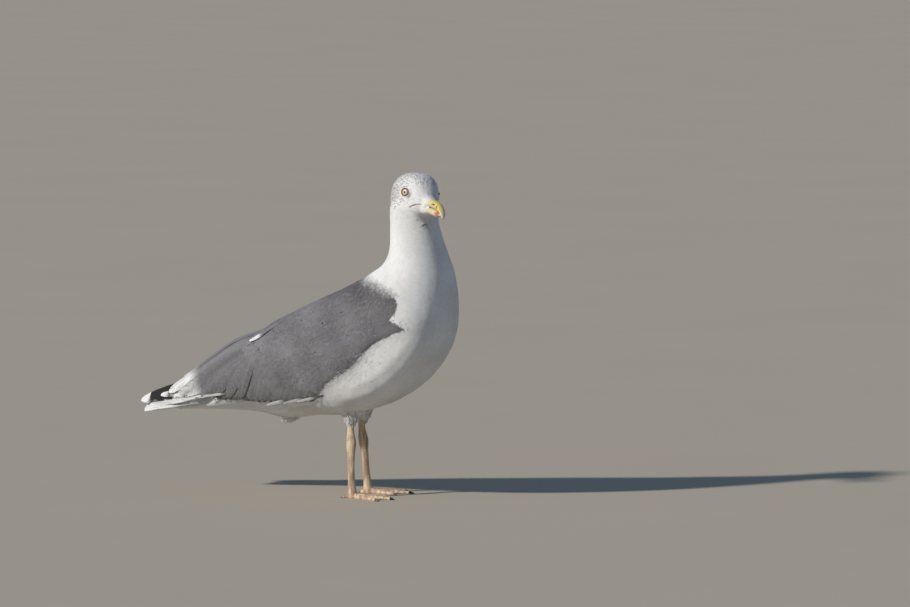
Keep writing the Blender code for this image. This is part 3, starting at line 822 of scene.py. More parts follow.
def control_points(surface, roots, ways, lengths, half_widths, steps, aims=None):
    """Rows of three points along each feather, laid on the surface, and the normals there."""
    points = np.empty((len(roots), steps + 1, 3, 3))
    normals = np.empty_like(points)
    place, normal, _ = surface.lay(roots)
    way = flat_on(ways, normal)
    for j in range(steps + 1):
        side = np.cross(normal, way)
        points[:, j, 1], normals[:, j, 1] = place, normal
        for column, sign in ((0, -1), (2, 1)):
            edge, edge_normal, _ = surface.lay(place + sign * side * half_widths[:, None])
            points[:, j, column], normals[:, j, column] = edge, edge_normal
        if j < steps:
            if aims is not None:
                way = flat_on(aims - place, normal)
            place, normal, _ = surface.lay(place + way * (lengths / steps)[:, None])
            way = flat_on(way, normal)
    return points, normals


def soft_mesh(name, points, triangles, normals, uvs, fields):
    """A mesh of many small pieces, with its own normals, the OFBake map and float attributes."""
    mesh = bpy.data.meshes.new(name)
    mesh.vertices.add(len(points))
    mesh.vertices.foreach_set("co", points.astype(np.float32).ravel())
    mesh.loops.add(triangles.size)
    mesh.loops.foreach_set("vertex_index", triangles.astype(np.int32).ravel())
    mesh.polygons.add(len(triangles))
    mesh.polygons.foreach_set("loop_start", np.arange(0, triangles.size, 3, dtype=np.int32))
    mesh.update(calc_edges=True)
    mesh.shade_smooth()
    layer = mesh.uv_layers.new(name="OFBake")
    layer.data.foreach_set("uv", uvs[triangles.ravel()].astype(np.float32).ravel())
    for key, values in fields.items():
        attribute = mesh.attributes.new(key, "FLOAT", "POINT")
        attribute.data.foreach_set("value", values.astype(np.float32).ravel())
    mesh.normals_split_custom_set_from_vertices(normals.astype(np.float32))
    return mesh


class Plumage:
    """Feathers that will make up one piece."""

    def __init__(self, pattern):
        self.places, self.triangles, self.barbs = pattern
        self.along, self.across = self.places[:, 0], self.places[:, 1]

    def grow(self, surface, roots, ways, lengths, half_widths, steps=2, aims=None,
             depth=COAT_DEPTH, plunge=2.2, rise=0.0003, stack=0.0, camber=0.0002, roll=0.0002,
             ragged=0.05, softness=0.8, hang=0.0):
        """Lays one feather for each root, along the ways or towards the aims.

        Its root is sunk by depth, and its tip stands off by rise and stack. A higher plunge sinks only the
        root's end. Camber bends its sides down, roll tilts it by chance, and ragged moves the ends of its
        barbs. Softness is how far its normals are the surface's. Hang lets its tip leave the surface and run
        straight.
        """
        count, size = len(roots), len(self.places)
        along, across = self.along, self.across
        points, normals = control_points(surface, roots, ways, lengths, half_widths, steps, aims)
        down, over = row_weights(along, steps + 1), across_weights(across)
        bed = np.einsum("vi,vj,nijk->nvk", down, over, points)
        out = unit(np.einsum("vi,vj,nijk->nvk", down, over, normals))
        if hang:
            ways, start = unit(ways), points[:, 0, 1]
            spread = np.cross(normals[:, 0, 1], ways) * half_widths[:, None]
            reach = ways * lengths[:, None]
            straight = start[:, None] + reach[:, None] * along[:, None] + spread[:, None] * across[:, None]
            share = hang * along[:, None]
            bed = bed * (1 - share) + straight * share
        rise, stack = np.reshape(rise, (-1, 1)), np.reshape(stack, (-1, 1))
        height = stack - depth * (1 - along) ** plunge + rise * along**2 - camber * across**2 * along
        tilt = roll * RNG.standard_normal((count, 1)) * across
        wobble = ragged * RNG.standard_normal((count, size)) * (np.abs(across) > 0.02) * along
        axis = points[:, -1, 1] - points[:, 0, 1]
        bed += 0.6 * axis[:, None, :] * wobble[:, :, None]
        self.points = (bed + out * (height + tilt)[:, :, None]).reshape(-1, 3)
        offsets = np.arange(count)[:, None, None] * size
        self.faces = (self.triangles[None] + offsets).reshape(-1, 3)
        flat = unit(cross_of(self.points[self.faces]))
        own = np.zeros_like(self.points)
        for k in range(3):
            np.add.at(own, self.faces[:, k], flat)
        self.normals = unit(unit(own) * (1 - softness) + out.reshape(-1, 3) * softness)
        barb_tone = RNG.standard_normal((count, self.barbs.max() + 1))[:, self.barbs]
        tone = RNG.standard_normal((count, 1))
        self.fields = {"grey": 0, "black": 0, "streak": 0, "tone": tone, "barb": barb_tone}
        self.shape = (count, size)
        return self

    def places_of_each(self):
        """The points as a row for each feather."""
        return self.points.reshape(*self.shape, 3)

    def mapped_at(self, places):
        """Gives each feather a small patch of the map at its root's place."""
        patch = np.stack([(self.along - 0.5) * 0.003, self.across * 0.0015], axis=1)
        self.uvs = (places[:, None, :] + patch[None]).reshape(-1, 2)
        return self

    def mapped_apart(self):
        """Gives each feather a strip of the map of its own."""
        count = self.shape[0]
        strip = (np.arange(count)[:, None] + 0.5 + 0.46 * self.across[None]) / count
        length = np.broadcast_to(0.02 + 0.96 * self.along, self.shape)
        self.uvs = np.stack([strip, length], axis=2).reshape(-1, 2)
        return self

    def piece(self, name):
        fields = {key: np.broadcast_to(values, self.shape).reshape(-1) for key, values in self.fields.items()}
        return add_object(name, soft_mesh(name, self.points, self.faces, self.normals, self.uvs, fields))


# ---------------------------------------------------------------- materials


class Nodes:
    """Short ways to build one material's nodes."""

    def __init__(self, name):
        self.material = bpy.data.materials.new(name)
        self.material.use_nodes = True
        self.tree = self.material.node_tree
        self.shader = self.tree.nodes["Principled BSDF"]

    def add(self, kind, **settings):
        node = self.tree.nodes.new("ShaderNode" + kind)
        for key, value in settings.items():
            setattr(node, key, value)
        return node

    def link(self, source, target):
        self.tree.links.new(source, target)

    def field(self, name):
        return self.add("Attribute", attribute_name=name).outputs["Fac"]

    def places(self):
        return self.add("TexCoord").outputs["Object"]

    def noise(self, scale, detail=3.0, stretch=None):
        node = self.add("TexNoise")
        node.inputs["Scale"].default_value = scale
        node.inputs["Detail"].default_value = detail
        vector = self.places()
        if stretch:
            mapping = self.add("Mapping")
            mapping.inputs["Scale"].default_value = stretch
            self.link(vector, mapping.inputs["Vector"])
            vector = mapping.outputs["Vector"]
        self.link(vector, node.inputs["Vector"])
        return node.outputs["Fac"]

    def math(self, operation, a, b=0.0, c=0.0):
        node = self.add("Math", operation=operation)
        for socket, value in zip(node.inputs, (a, b, c)):
            if isinstance(value, (int, float)):
                socket.default_value = value
            else:
                self.link(value, socket)
        return node.outputs["Value"]

    def mix(self, share, a, b):
        node = self.add("Mix", data_type="RGBA")
        for socket, value in ((node.inputs[0], share), (node.inputs[6], a), (node.inputs[7], b)):
            if isinstance(value, (int, float)):
                socket.default_value = value
            elif isinstance(value, tuple):
                socket.default_value = (*value, 1)
            else:
                self.link(value, socket)
        return node.outputs[2]

    def between(self, value, low, high):
        node = self.add("MapRange", clamp=True, interpolation_type="SMOOTHSTEP")
        node.inputs["From Min"].default_value = low
        node.inputs["From Max"].default_value = high
        self.link(value, node.inputs["Value"])
        return node.outputs["Result"]

    def bump(self, height, distance, strength=1.0):
        node = self.add("Bump")
        node.inputs["Strength"].default_value = strength
        node.inputs["Distance"].default_value = distance
        self.link(height, node.inputs["Height"])
        self.link(node.outputs["Normal"], self.shader.inputs["Normal"])

    def finish(self, colour, roughness, **values):
        self.link(colour, self.shader.inputs["Base Color"])
        self.shader.inputs["Roughness"].default_value = roughness
        for key, value in values.items():
            self.shader.inputs[key.replace("_", " ")].default_value = value
        return self.material


def plumage_material():
    """White feathers that the fields grey, streak and black turn grey, brown and black, in an uneven tone."""
    n = Nodes("plumage")
    colour = n.mix(n.field("grey"), WHITE, GREY)
    colour = n.mix(n.field("streak"), colour, STREAK)
    colour = n.mix(n.field("black"), colour, BLACK)
    tone = n.math("MULTIPLY_ADD", n.field("tone"), 0.045, 1.0)
    tone = n.math("MULTIPLY_ADD", n.field("barb"), 0.06, tone)
    patchy = n.noise(90.0, 4.0)
    tone = n.math("MULTIPLY_ADD", patchy, 0.16, n.math("ADD", tone, -0.08))
    shaded = n.add("HueSaturation")
    n.link(tone, shaded.inputs["Value"])
    n.link(colour, shaded.inputs["Color"])
    sheen = {"Sheen_Weight": 0.15, "Sheen_Roughness": 0.5}
    return n.finish(shaded.outputs["Color"], 0.75, Specular_IOR_Level=0.25, **sheen)


def horn_material():
    """The bill's horn. The fields: pale for its tip and base, red for its spot, dark for the painted shade in
    the nostrils and along the mouth and for its dark marks.
    """
    n = Nodes("bill_horn")
    colour = n.mix(n.between(n.noise(260.0), 0.35, 0.7), BILL_YELLOW, BILL_OCHRE)
    colour = n.mix(n.field("pale"), colour, BILL_PALE)
    colour = n.mix(n.field("red"), colour, BILL_RED)
    colour = n.mix(n.field("dark"), colour, BILL_DARK)
    n.bump(n.noise(700.0, 2.0, (1.0, 1.0, 0.4)), 0.0001, 0.5)
    return n.finish(colour, 0.38, Specular_IOR_Level=0.4)


def eye_material():
    """A wet eye. The field from_axis is the distance from the middle of the pupil."""
    n = Nodes("eye")
    reach = n.field("from_axis")
    mottled = n.math("MULTIPLY_ADD", n.noise(2400.0, 2.0), 0.0005, reach)
    colour = n.mix(n.between(mottled, IRIS_RADIUS * 0.55, IRIS_RADIUS * 1.1), IRIS_INNER, IRIS_OUTER)
    colour = n.mix(n.between(reach, PUPIL_RADIUS, PUPIL_RADIUS + 0.0003), BLACK, colour)
    colour = n.mix(n.between(reach, IRIS_RADIUS, IRIS_RADIUS + 0.0003), colour, BLACK)
    return n.finish(colour, 0.25, Coat_Weight=1.0, Coat_Roughness=0.03)


def plain_material(name, dark, light, roughness, grain=900.0, bump=0.0002):
    """Two blotched colours and a fine grain."""
    n = Nodes(name)
    colour = n.mix(n.between(n.noise(grain * 0.4), 0.3, 0.7), dark, light)
    n.bump(n.noise(grain, 2.0), bump, 0.6)
    return n.finish(colour, roughness)


def leg_material():
    """Flesh-coloured skin with scutes: rings down the leg, broken up by small scales."""
    n = Nodes("leg_skin")
    height = n.add("SeparateXYZ")
    n.link(n.places(), height.inputs["Vector"])
    wander = n.math("MULTIPLY_ADD", n.noise(160.0, 2.0), 0.0030, height.outputs["Z"])
    rings = n.math("SINE", n.math("MULTIPLY", wander, 2 * math.pi / SCUTE))
    grooves = n.between(rings, -1.0, -0.55)
    blotches = n.between(n.noise(260.0, 4.0, (1.0, 1.0, 0.22)), 0.36, 0.62)
    colour = n.mix(blotches, LEG_DARK, LEG_LIGHT)
    colour = n.mix(n.math("MULTIPLY_ADD", grooves, -0.12, 0.12), colour, LEG_CREASE)
    scales = n.math("MULTIPLY_ADD", grooves, 0.25, n.noise(1100.0, 3.0))
    n.bump(scales, 0.0004, 0.6)
    return n.finish(colour, 0.5, Specular_IOR_Level=0.4)


# ---------------------------------------------------------------- pieces


def ready(piece, nodes, material=None):
    """Hands a finished piece to the frame."""
    if material:
        piece.data.materials.clear()
        piece.data.materials.append(material)
    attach(piece, "root")
    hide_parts(*nodes)
    return piece


def both(*names):
    """The nodes with these names on both sides."""
    return [f"{name}_{side}" for name in names for side in SIDES]


def set_fields(obj, **fields):
    """Stores each field as a float attribute, one value for a vertex or one for all."""
    count = len(obj.data.vertices)
    for key, values in fields.items():
        values = np.broadcast_to(np.asarray(values, np.float32), count)
        attribute = obj.data.attributes.new(key, "FLOAT", "POINT")
        attribute.data.foreach_set("value", np.ascontiguousarray(values))


def make_leg_skin(side):
    """The skin of one bare leg and foot, run up into the thigh."""
    leg = joined_copy("leg_" + side, [f"{node}_{side}" for node in LEG_NODES])
    top = max(v.co.z for v in leg.data.vertices)
    for vertex in leg.data.vertices:
        if vertex.co.z > top - LEG_RIM:
            vertex.co.z += LEG_OVERRUN
    return remeshed(leg, LEG_VOXEL, 2)


def make_skin():
    """The closed flesh: the hull less the depth of the coat, joined to the bare legs."""
    skin = add_object("skin", hull.data.copy())
    points = vertex_places(skin)
    forward = np.clip(in_head(points)[:, 0] / 0.03, 0, 1)
    thinner = head_share(points) * (1 - FACE_DEPTH / COAT_DEPTH) * (0.35 + 0.65 * forward)
    displaced(skin, -COAT_DEPTH, 1 - thinner)
    remeshed(skin, SKIN_VOXEL, 2)
    keep_island(skin)
    for side in SIDES:
        leg = make_leg_skin(side)
        finish_with(skin, "BOOLEAN", operation="UNION", solver="MANIFOLD", object=leg)
        bpy.data.objects.remove(leg)
    only(skin)
    skin.data.uv_layers.new(name="OFBake")
    bpy.ops.object.mode_set(mode="EDIT")
    bpy.ops.mesh.select_all(action="SELECT")
    bpy.ops.mesh.quads_convert_to_tris()
    bpy.ops.uv.smart_project(angle_limit=math.radians(66), island_margin=0.002)
    bpy.ops.object.mode_set(mode="OBJECT")
    skin.data.shade_smooth()
    grey = side_of_outline(vertex_places(skin), GREY_OUTLINE)
    set_fields(skin, grey=grey, black=0, streak=0, tone=0, barb=0)
    return skin


def paint_skin(skin):
    """Plumage colours on the body and bare skin on the legs."""
    skin.data.materials.clear()
    skin.data.materials.append(PLUMAGE)
    skin.data.materials.append(LEG)
    for polygon in skin.data.polygons:
        polygon.material_index = 1 if polygon.center.z < BARE_LEG_TOP else 0
    ready(skin, ["head", "neck", "trunk"] + both("wing", "thigh", "shank", "tarsus", "foot"))


def skin_map_of(skin):
    """A function that gives the place on the skin's own map for points of the hull."""
    below = Surface(skin)
    centres = values_of(skin.data.uv_layers["OFBake"].data, "uv", 2)[below.loops].mean(axis=1)

    def skin_map(points):
        return centres[below.lay(points)[2]]

    return skin_map


# ---------------------------------------------------------------- the coat


def outward_free(chosen):
    """Those of the chosen candidates that nothing of the hull faces from close by."""
    free = np.ones(len(chosen), bool)
    for k, (point, normal) in enumerate(zip(points[chosen].tolist(), normals[chosen].tolist())):
        start = Vector(point) + Vector(normal) * FREE_FROM
        free[k] = surface.tree.ray_cast(start, Vector(normal), FREE_REACH)[0] is None
    return chosen[free]


def clear_of_face(points):
    """True away from the eyes and the bill."""
    local = in_head(points)
    x, z = EYE_OPENING
    from_eye = np.hypot(local[:, 0] - x, local[:, 2] - z)
    at_eye = (from_eye < EYE_CLEAR) & (np.abs(local[:, 1]) > FACE_SIDE)
    at_bill = (local[:, 0] > BILL_FROM) & (np.abs(local[:, 1]) < FACE_SIDE)
    return ~((at_eye | at_bill) & (np.linalg.norm(local, axis=1) < FACE_REACH))


def short_of_eyes(points, lengths):
    """Feathers that start before an eye end where the eye begins."""
    local = in_head(points)
    x, z = EYE_OPENING
    room = np.hypot(local[:, 0] - x, local[:, 2] - z) - EYE_CLEAR + EYE_OVERLAP
    before = (local[:, 0] > x - BEFORE_EYE) & (np.linalg.norm(local, axis=1) < CHEEK_REACH)
    return np.where(before, np.minimum(lengths, np.maximum(room, SHORTEST)), lengths)


def grey_share(places, ways):
    """Share of grey at places of the coat: a sharp edge along the wing, and a soft one on the upper back."""
    reach = np.linspace(-EDGE_SOFTNESS, EDGE_SOFTNESS, 7)
    steps = [side_of_outline(places + ways * step, GREY_OUTLINE) for step in reach]
    share = np.where(places[:, 2] > UPPER_BACK, np.mean(steps, axis=0), steps[3])
    return share * (1 - crescent_white(places))


def grey_within(places, back_share):
    """Share of grey at each vertex of some feathers. On the upper back it is the same all over a feather."""
    inside = side_of_outline(places.reshape(-1, 3), GREY_OUTLINE).reshape(places.shape[:-1])
    return np.where(places[..., 2] > UPPER_BACK, back_share, inside * (1 - crescent_white(places)))


def crescent_white(places):
    """1 in the white of the folded tertials."""
    x, z, slope = CRESCENT
    share = np.clip((x + slope * (places[..., 2] - z) - places[..., 0]) / CRESCENT_FADE + 0.5, 0, 1)
    return share * share * (3 - 2 * share) * (1 - CRESCENT_GREY)


def looseness(points):
    """How far the tips stand off the body at points of it."""
    loose = np.zeros(len(points))
    for place, reach, rise in LOOSE:
        near = np.exp(-((np.linalg.norm(folded(points) - np.array(place), axis=1) / reach) ** 2))
        loose = np.maximum(loose, rise * near)
    return loose


def soft_patch(local, middle, reach, strength):
    """A soft patch of the head's pattern, from places in its own frame."""
    along, up = (local[..., 0] - middle[0]) / reach[0], (local[..., 2] - middle[1]) / reach[1]
    return strength * np.exp(-(along**2) - up**2)


def streak_share(points):
    """How much of the head is brown: winter streaks behind the eye, on the crown and on the nape."""
    local = in_head(points)
    (x, z), (x_fade, z_fade), strength = CROWN_PATCH
    crown = np.clip((local[:, 2] - z) / z_fade, 0, 1) * np.clip((x - local[:, 0]) / x_fade, 0, 1)
    share = soft_patch(local, *EAR_PATCH) + strength * crown + soft_patch(local, *NAPE_PATCH)
    return np.clip(share, 0, MOST_STREAKED) * (np.abs(local[:, 1]) + local[:, 2] > THROAT_TOP)


def smudge_and_shade_of(points):
    """A soft brown patch before and below the eye: partly the winter mark there, partly painted shade in the
    hollow before the eye.
    """
    local = in_head(points.reshape(-1, 3)).reshape(points.shape)
    return soft_patch(local, *EYE_SMUDGE_AND_SHADE)


def mantle_tone(points):
    """The front of the back is darker than the rest of the grey."""
    (x, z), (x_fade, z_fade) = MANTLE, MANTLE_FADE
    share = np.clip((points[:, 0] - x) / x_fade, 0, 1) * np.clip((points[:, 2] - z) / z_fade, 0, 1)
    return 1.0 - MANTLE_DARKER * share


def turned_aside(chosen, spread):
    """The lie at chosen candidates, turned a little to one side or the other by chance."""
    aside = np.cross(normals[chosen], ways[chosen])
    return ways[chosen] + spread * aside * RNG.standard_normal((len(chosen), 1))


def strands_from(roots, ways, long, half_width, settings):
    """Fine strands of one width that grow from the roots."""
    strands = Plumage(LOCK).grow(surface, roots, ways, long, np.full(len(roots), half_width), **settings)
    return strands.mapped_at(skin_map(roots))


def head_streaks():
    """Fine brown strands that lie over the small feathers of the head."""
    chosen = np.flatnonzero(head_part & good & (RNG.random(len(points)) < 0.20 * streak_share(points)))
    count = len(chosen)
    roots = points[chosen]
    turned = turned_aside(chosen, 0.30)
    long = np.minimum(STREAK_LENGTH * (0.7 + 0.6 * RNG.random(count)), 0.9 * lengths[chosen])
    strands = strands_from(roots, turned, long, STREAK_HALF_WIDTH, STREAK_STRANDS)
    strands.fields["streak"] = 0.55 + 0.4 * RNG.random((count, 1))
    ready(strands.piece("head_streaks"), ["head"], PLUMAGE)


def folds_up(roots, out, ways, long):
    """True where the surface turns up within a feather's length, as in the fold before the wing."""
    tips, _, _ = surface.lay(roots + ways * long[:, None])
    return (((tips - roots) * out).sum(axis=1) > FOLD * long) & (roots[:, 2] < FOLD_TOP)


def coat(name, mask, pattern, spacing, width, settings, least=0.0, scale=1.0, contrast=0.35, streaks=False):
    """One piece of the coat over the part of the hull where mask is true.

    Spacing and width are shares of a feather's length, for its distance from the next one and for half its
    width. The distance is never under the least.
    """
    chosen = np.flatnonzero(mask & good)
    chosen = chosen[spaced(points[chosen], np.maximum(spacing * lengths[chosen], least))]
    chosen = outward_free(chosen)
    count = len(chosen)
    roots, ways_here = points[chosen], ways[chosen]
    turned = turned_aside(chosen, 0.10)
    long = scale * lengths[chosen] * (1 + LENGTH_SPREAD * RNG.standard_normal(count))
    long *= np.where(folds_up(roots, normals[chosen], turned, long), SHORTENED, 1.0)
    height = settings["rise"] + 0.3 * looseness(roots)
    settings = {**settings, "rise": height, "stack": COAT_STACK * RNG.random(count)}
    feathers = Plumage(pattern).grow(surface, roots, turned, long, long * width, **settings)
    feathers.mapped_at(skin_map(roots))
    places = feathers.places_of_each()
    uneven = (ways_here * ragged_edge[chosen, None])[:, None]
    grey = grey_within(places + uneven, grey_shares[chosen, None])
    tone = contrast * (feathers.fields["tone"] + CLOUD_STRENGTH * waves(roots, CLOUD_SIZE, 5)[:, None])
    tone = tone + grey * mantle_tone(roots)[:, None]
    feathers.fields.update(grey=grey, tone=tone, barb=contrast * feathers.fields["barb"])
    if streaks:
        shaft = np.clip(1.30 - 1.9 * np.abs(feathers.across), 0, 1) * np.clip(4 * feathers.along - 1.2, 0, 1)
        tips = roots + ways_here * (0.8 * long)[:, None]
        drawn = (RNG.random(count) < streak_share(tips)) * (0.25 + 0.45 * RNG.random(count))
        # the streaks join the patch before the eye, which is partly painted shade
        feathers.fields["streak"] = np.maximum(drawn[:, None] * shaft[None], smudge_and_shade_of(places))
    return feathers.piece(name)


def locks(name, chance, length, half_width, rise, tone, nodes):
    """Fine strands over the coat, where chance is the share of candidates that carry one."""
    chosen = np.flatnonzero((RNG.random(len(points)) < chance) & good & ~head_part)
    chosen = outward_free(chosen)
    count = len(chosen)
    roots = points[chosen]
    turned = turned_aside(chosen, 0.22)
    long = length * (1 + 0.25 * RNG.standard_normal(count).clip(-2, 2))
    height = rise * RNG.random(count) + 0.5 * looseness(roots)
    strands = strands_from(roots, turned, long, half_width, {**LOOSE_STRANDS, "rise": height})
    strands.fields["grey"] = grey_part[chosen, None].astype(float)
    strands.fields["tone"] = np.maximum(tone[0] + tone[1] * strands.fields["tone"], 0)
    ready(strands.piece(name), nodes, PLUMAGE)


def hanging(name, place, reach, aim, spread, length, nodes):
    """A tuft of loose feathers that hangs from round a place of the body towards a point below it."""
    near = np.flatnonzero(np.linalg.norm(folded(points) - np.array(place), axis=1) < reach)
    near = near[spaced(points[near], np.full(len(near), TUFT_SPACING))]
    roots = points[near]
    count = len(near)
    target = np.array(aim) * np.stack([np.ones(count), np.sign(roots[:, 1]), np.ones(count)], axis=1)
    target += spread * unit((roots - target) * [1, 1, 0]) + TUFT_SCATTER * RNG.standard_normal((count, 3))
    long = np.minimum(np.linalg.norm(target - roots, axis=1) * (0.75 + 0.35 * RNG.random(count)), length)
    strands = strands_from(roots, target - roots, long, TUFT_HALF_WIDTH, TUFT_STRANDS)
    # painted light on the tufts, against the shade they hang in
    strands.fields["tone"] = strands.fields["tone"] + TUFT_PAINTED_LIGHT
    ready(strands.piece(name), nodes, PLUMAGE)


def last_values(table):
    """The last value of each row, as a column."""
    return np.array([[row[-1]] for row in table])


def long_feathers(surface, table, side, pattern, stacks, **settings):
    """Flight feathers from their roots to their tips."""
    mirror = np.array([1, SIDES[side], 1])
    roots = np.array([row[0] for row in table]) * mirror
    tips = np.array([row[1] for row in table]) * mirror
    half_widths = np.array([row[2] for row in table])
    spans = np.linalg.norm(tips - roots, axis=1)
    settings = {"steps": 6, "ragged": 0.006, "roll": 0.0001, **settings}
    feathers = Plumage(pattern)
    feathers.grow(surface, roots, tips - roots, spans, half_widths, aims=tips, stack=stacks, **settings)
    feathers.spans = spans[:, None]
    return feathers.mapped_apart()


def white_ends(feathers, table, fade):
    """1 on the white end of each feather. The fade is a share of the white's length."""
    ends = last_values(table) / feathers.spans
    start = 1 - ends * (1 + fade * 0.5)
    share = (feathers.along[None] - start) / np.maximum(ends * fade, 0.004)
    return np.where(ends > 0, np.clip(share, 0, 1), 0)


def painted_overlap_shade(feathers, strength):
    """Painted shade towards the sides of each feather, where one lies over the next."""
    return -strength * np.clip((np.abs(feathers.across) - 0.72) / 0.28, 0, 1)[None]


def streaky(feathers):
    """Fine streaks along each feather, by chance lighter or darker."""
    turns = RNG.uniform(0, 2 * math.pi, (feathers.shape[0], 3))
    across = feathers.across[None]
    stripes = [np.sin(rate * across + turn[:, None]) for rate, turn in zip((7, 13, 23), turns.T)]
    return 1.7 * np.sum(stripes, axis=0)


def make_tertials(side):
    """The long grey feathers over the folded wing, and the white crescent at their ends."""
    stacks = np.linspace(*TERTIAL_STACKS, len(TERTIALS))
    settings = {"camber": 0.0007, "softness": 0.35}
    feathers = long_feathers(rear_surface, TERTIALS, side, FLIGHT_FEATHER, stacks, **settings)
    grey = 1 - crescent_white(feathers.places_of_each())
    # the tertials' tones include one painted shadow line, and their sides carry painted shade where one lies
    # over the next
    tone = last_values(TERTIALS) + 1.0 + streaky(feathers) + painted_overlap_shade(feathers, 8.0) * grey
    feathers.fields.update(grey=grey, tone=tone)
    ready(feathers.piece("tertials_" + side), ["wing_" + side], PLUMAGE)


def make_secondaries(side):
    """Grey feathers along the lower edge of the folded wing."""
    tips_x = np.arange(SECONDARY_TIPS[0][0], SECONDARY_TIPS[-1][0], SECONDARY_STEP)
    tips_y = np.interp(tips_x, *zip(*SECONDARY_TIPS))
    forward, outward, root_height = SECONDARY_ROOT
    table = []
    for x, y in zip(tips_x, tips_y):
        root = (x + forward, y + outward, root_height)
        table.append((root, (x, y, SECONDARY_TIP_HEIGHT), SECONDARY_HALF_WIDTH))
    stacks = np.linspace(*SECONDARY_STACKS, len(table))
    settings = {"steps": 4, "camber": 0.0009, "softness": 0.3}
    feathers = long_feathers(surface, table, side, WING_FEATHER, stacks, **settings)
    # painted shade along the sides of the secondaries, where one lies over the next
    tone = feathers.fields["tone"] + streaky(feathers) + painted_overlap_shade(feathers, 4.0)
    feathers.fields.update(grey=1.0, tone=tone)
    ready(feathers.piece("secondaries_" + side), ["wing_" + side], PLUMAGE)


def make_white_tips(side):
    """The white ends that show along the wing's lower edge and behind the shoulder."""
    for name, table, hang in (("edge_tips_", EDGE_FEATHERS, 1.0), ("scapular_tip_", SCAPULARS, 0.0)):
        stacks = np.full(len(table), WHITE_TIP_STACK)
        settings = {"steps": 4, "hang": hang, "softness": 0.6 - 0.5 * hang}
        feathers = long_feathers(rear_surface, table, side, WING_FEATHER, stacks, **settings)
        grey = 1 - white_ends(feathers, table, 0.35)
        # painted shade along the sides of the grey part of these feathers
        tone = feathers.fields["tone"] + painted_overlap_shade(feathers, 6.0) * grey
        feathers.fields.update(grey=grey, tone=tone)
        ready(feathers.piece(name + side), ["wing_" + side, "trunk"], PLUMAGE)


def make_tail_side(side):
    """White feathers of the tail that close the gap below the folded wing."""
    settings = {"hang": 1.0, "softness": 0.3}
    feathers = long_feathers(rear_surface, TAIL_SIDE, side, WING_FEATHER, TAIL_SIDE_STACKS, **settings)
    feathers.normals[:] = unit(np.array([-0.1, SIDES[side], 0.1]))
    ready(feathers.piece("tail_side_" + side), ["tail"], PLUMAGE)


def core_of(node, voxel):
    """The solid core under flight feathers: the CAD piece, a little smaller."""
    core = remeshed(joined_copy(node + "_core", [node]), voxel, 3)
    displaced(core, -CORE_INSET)
    core.data.shade_smooth()
    return core


def black_of(places):
    """1 where the wing's tip is black, less on its pale spot, 0 at its very end and below its lower edge."""
    x, z = places[..., 0], places[..., 2]
    above = z > np.interp(x, *zip(*BLACK_LOWER_EDGE))
    apex_x, apex_z = CRESCENT_APEX
    white = (x > apex_x + 0.9 * np.abs(z - apex_z)) & (z > CRESCENT_BOTTOM)
    spot_x, spot_z, half_length, half_height = WING_SPOT
    from_spot = np.hypot((x - spot_x) / half_length, (z - spot_z) / half_height)
    return (above & ~white & (x > WHITE_BEHIND) & (x < GREY_AHEAD)) * np.where(from_spot < 1, 0.75, 1.0)


def make_primaries(side):
    """The folded wing's tip: a solid core and four layers of long black feathers over it."""
    node = "primaries_" + side
    core = core_of(node, WING_TIP_VOXEL)
    set_fields(core, black=black_of(vertex_places(core)), grey=vertex_places(core)[:, 0] > GREY_AHEAD)
    ready(core, [node], PLUMAGE)
    blade = surface_of(joined_copy("blade", [node]))
    settings = {"depth": VANE_DEPTH, "softness": 0.35}
    feathers = long_feathers(blade, PRIMARIES, side, WING_FEATHER, PRIMARY_STACKS, **settings)
    places = feathers.places_of_each()
    feathers.fields["black"] = np.minimum(black_of(places), 1 - white_ends(feathers, PRIMARIES, 0.10))
    feathers.fields["grey"] = places[..., 0] > GREY_AHEAD
    ready(feathers.piece(node), [node], PLUMAGE)


def tail_table(above):
    """The tail's feathers, as rows like those of the other long feathers."""
    (root_x, root_y, root_z), (tip_x, tip_y, tip_z) = TAIL_ROOT, TAIL_TIP
    root_step, tip_step = TAIL_STEPS
    rows = []
    for side in SIDES.values():
        for k in range(TAIL_FEATHERS):
            root = (root_x, side * (root_y + root_step * k), root_z + above)
            tip = (tip_x + TAIL_ROUNDING * k**1.6, side * (tip_y + tip_step * k), tip_z + above)
            rows.append((root, tip, TAIL_HALF_WIDTH))
    return rows


def make_tail():
    """The tail: a solid core with a fan of feathers above it and one below."""
    ready(core_of("tail", TAIL_VOXEL), ["tail"], PLUMAGE)
    fan = surface_of(joined_copy("fan", ["tail"]))
    for name, above in TAIL_LAYERS:
        table = tail_table(above)
        stacks = TAIL_STACK - TAIL_STACK_STEP * (np.arange(len(table)) % TAIL_FEATHERS)
        feathers = long_feathers(fan, table, "left", WING_FEATHER, stacks, depth=VANE_DEPTH, softness=0.5)
        # faint painted shade along the sides of the tail's feathers
        feathers.fields["tone"] = feathers.fields["tone"] * 0.5 + painted_overlap_shade(feathers, 1.5)
        ready(feathers.piece(name), ["tail"], PLUMAGE)


# ---------------------------------------------------------------- bill, eyes and claws


def soft_spot(x, z, place, size):
    """1 in the middle of an ellipse and 0 past its edge."""
    reach = np.hypot((x - place[0]) / size[0], (z - place[1]) / size[1])
    return np.clip(1.5 - reach, 0, 1)


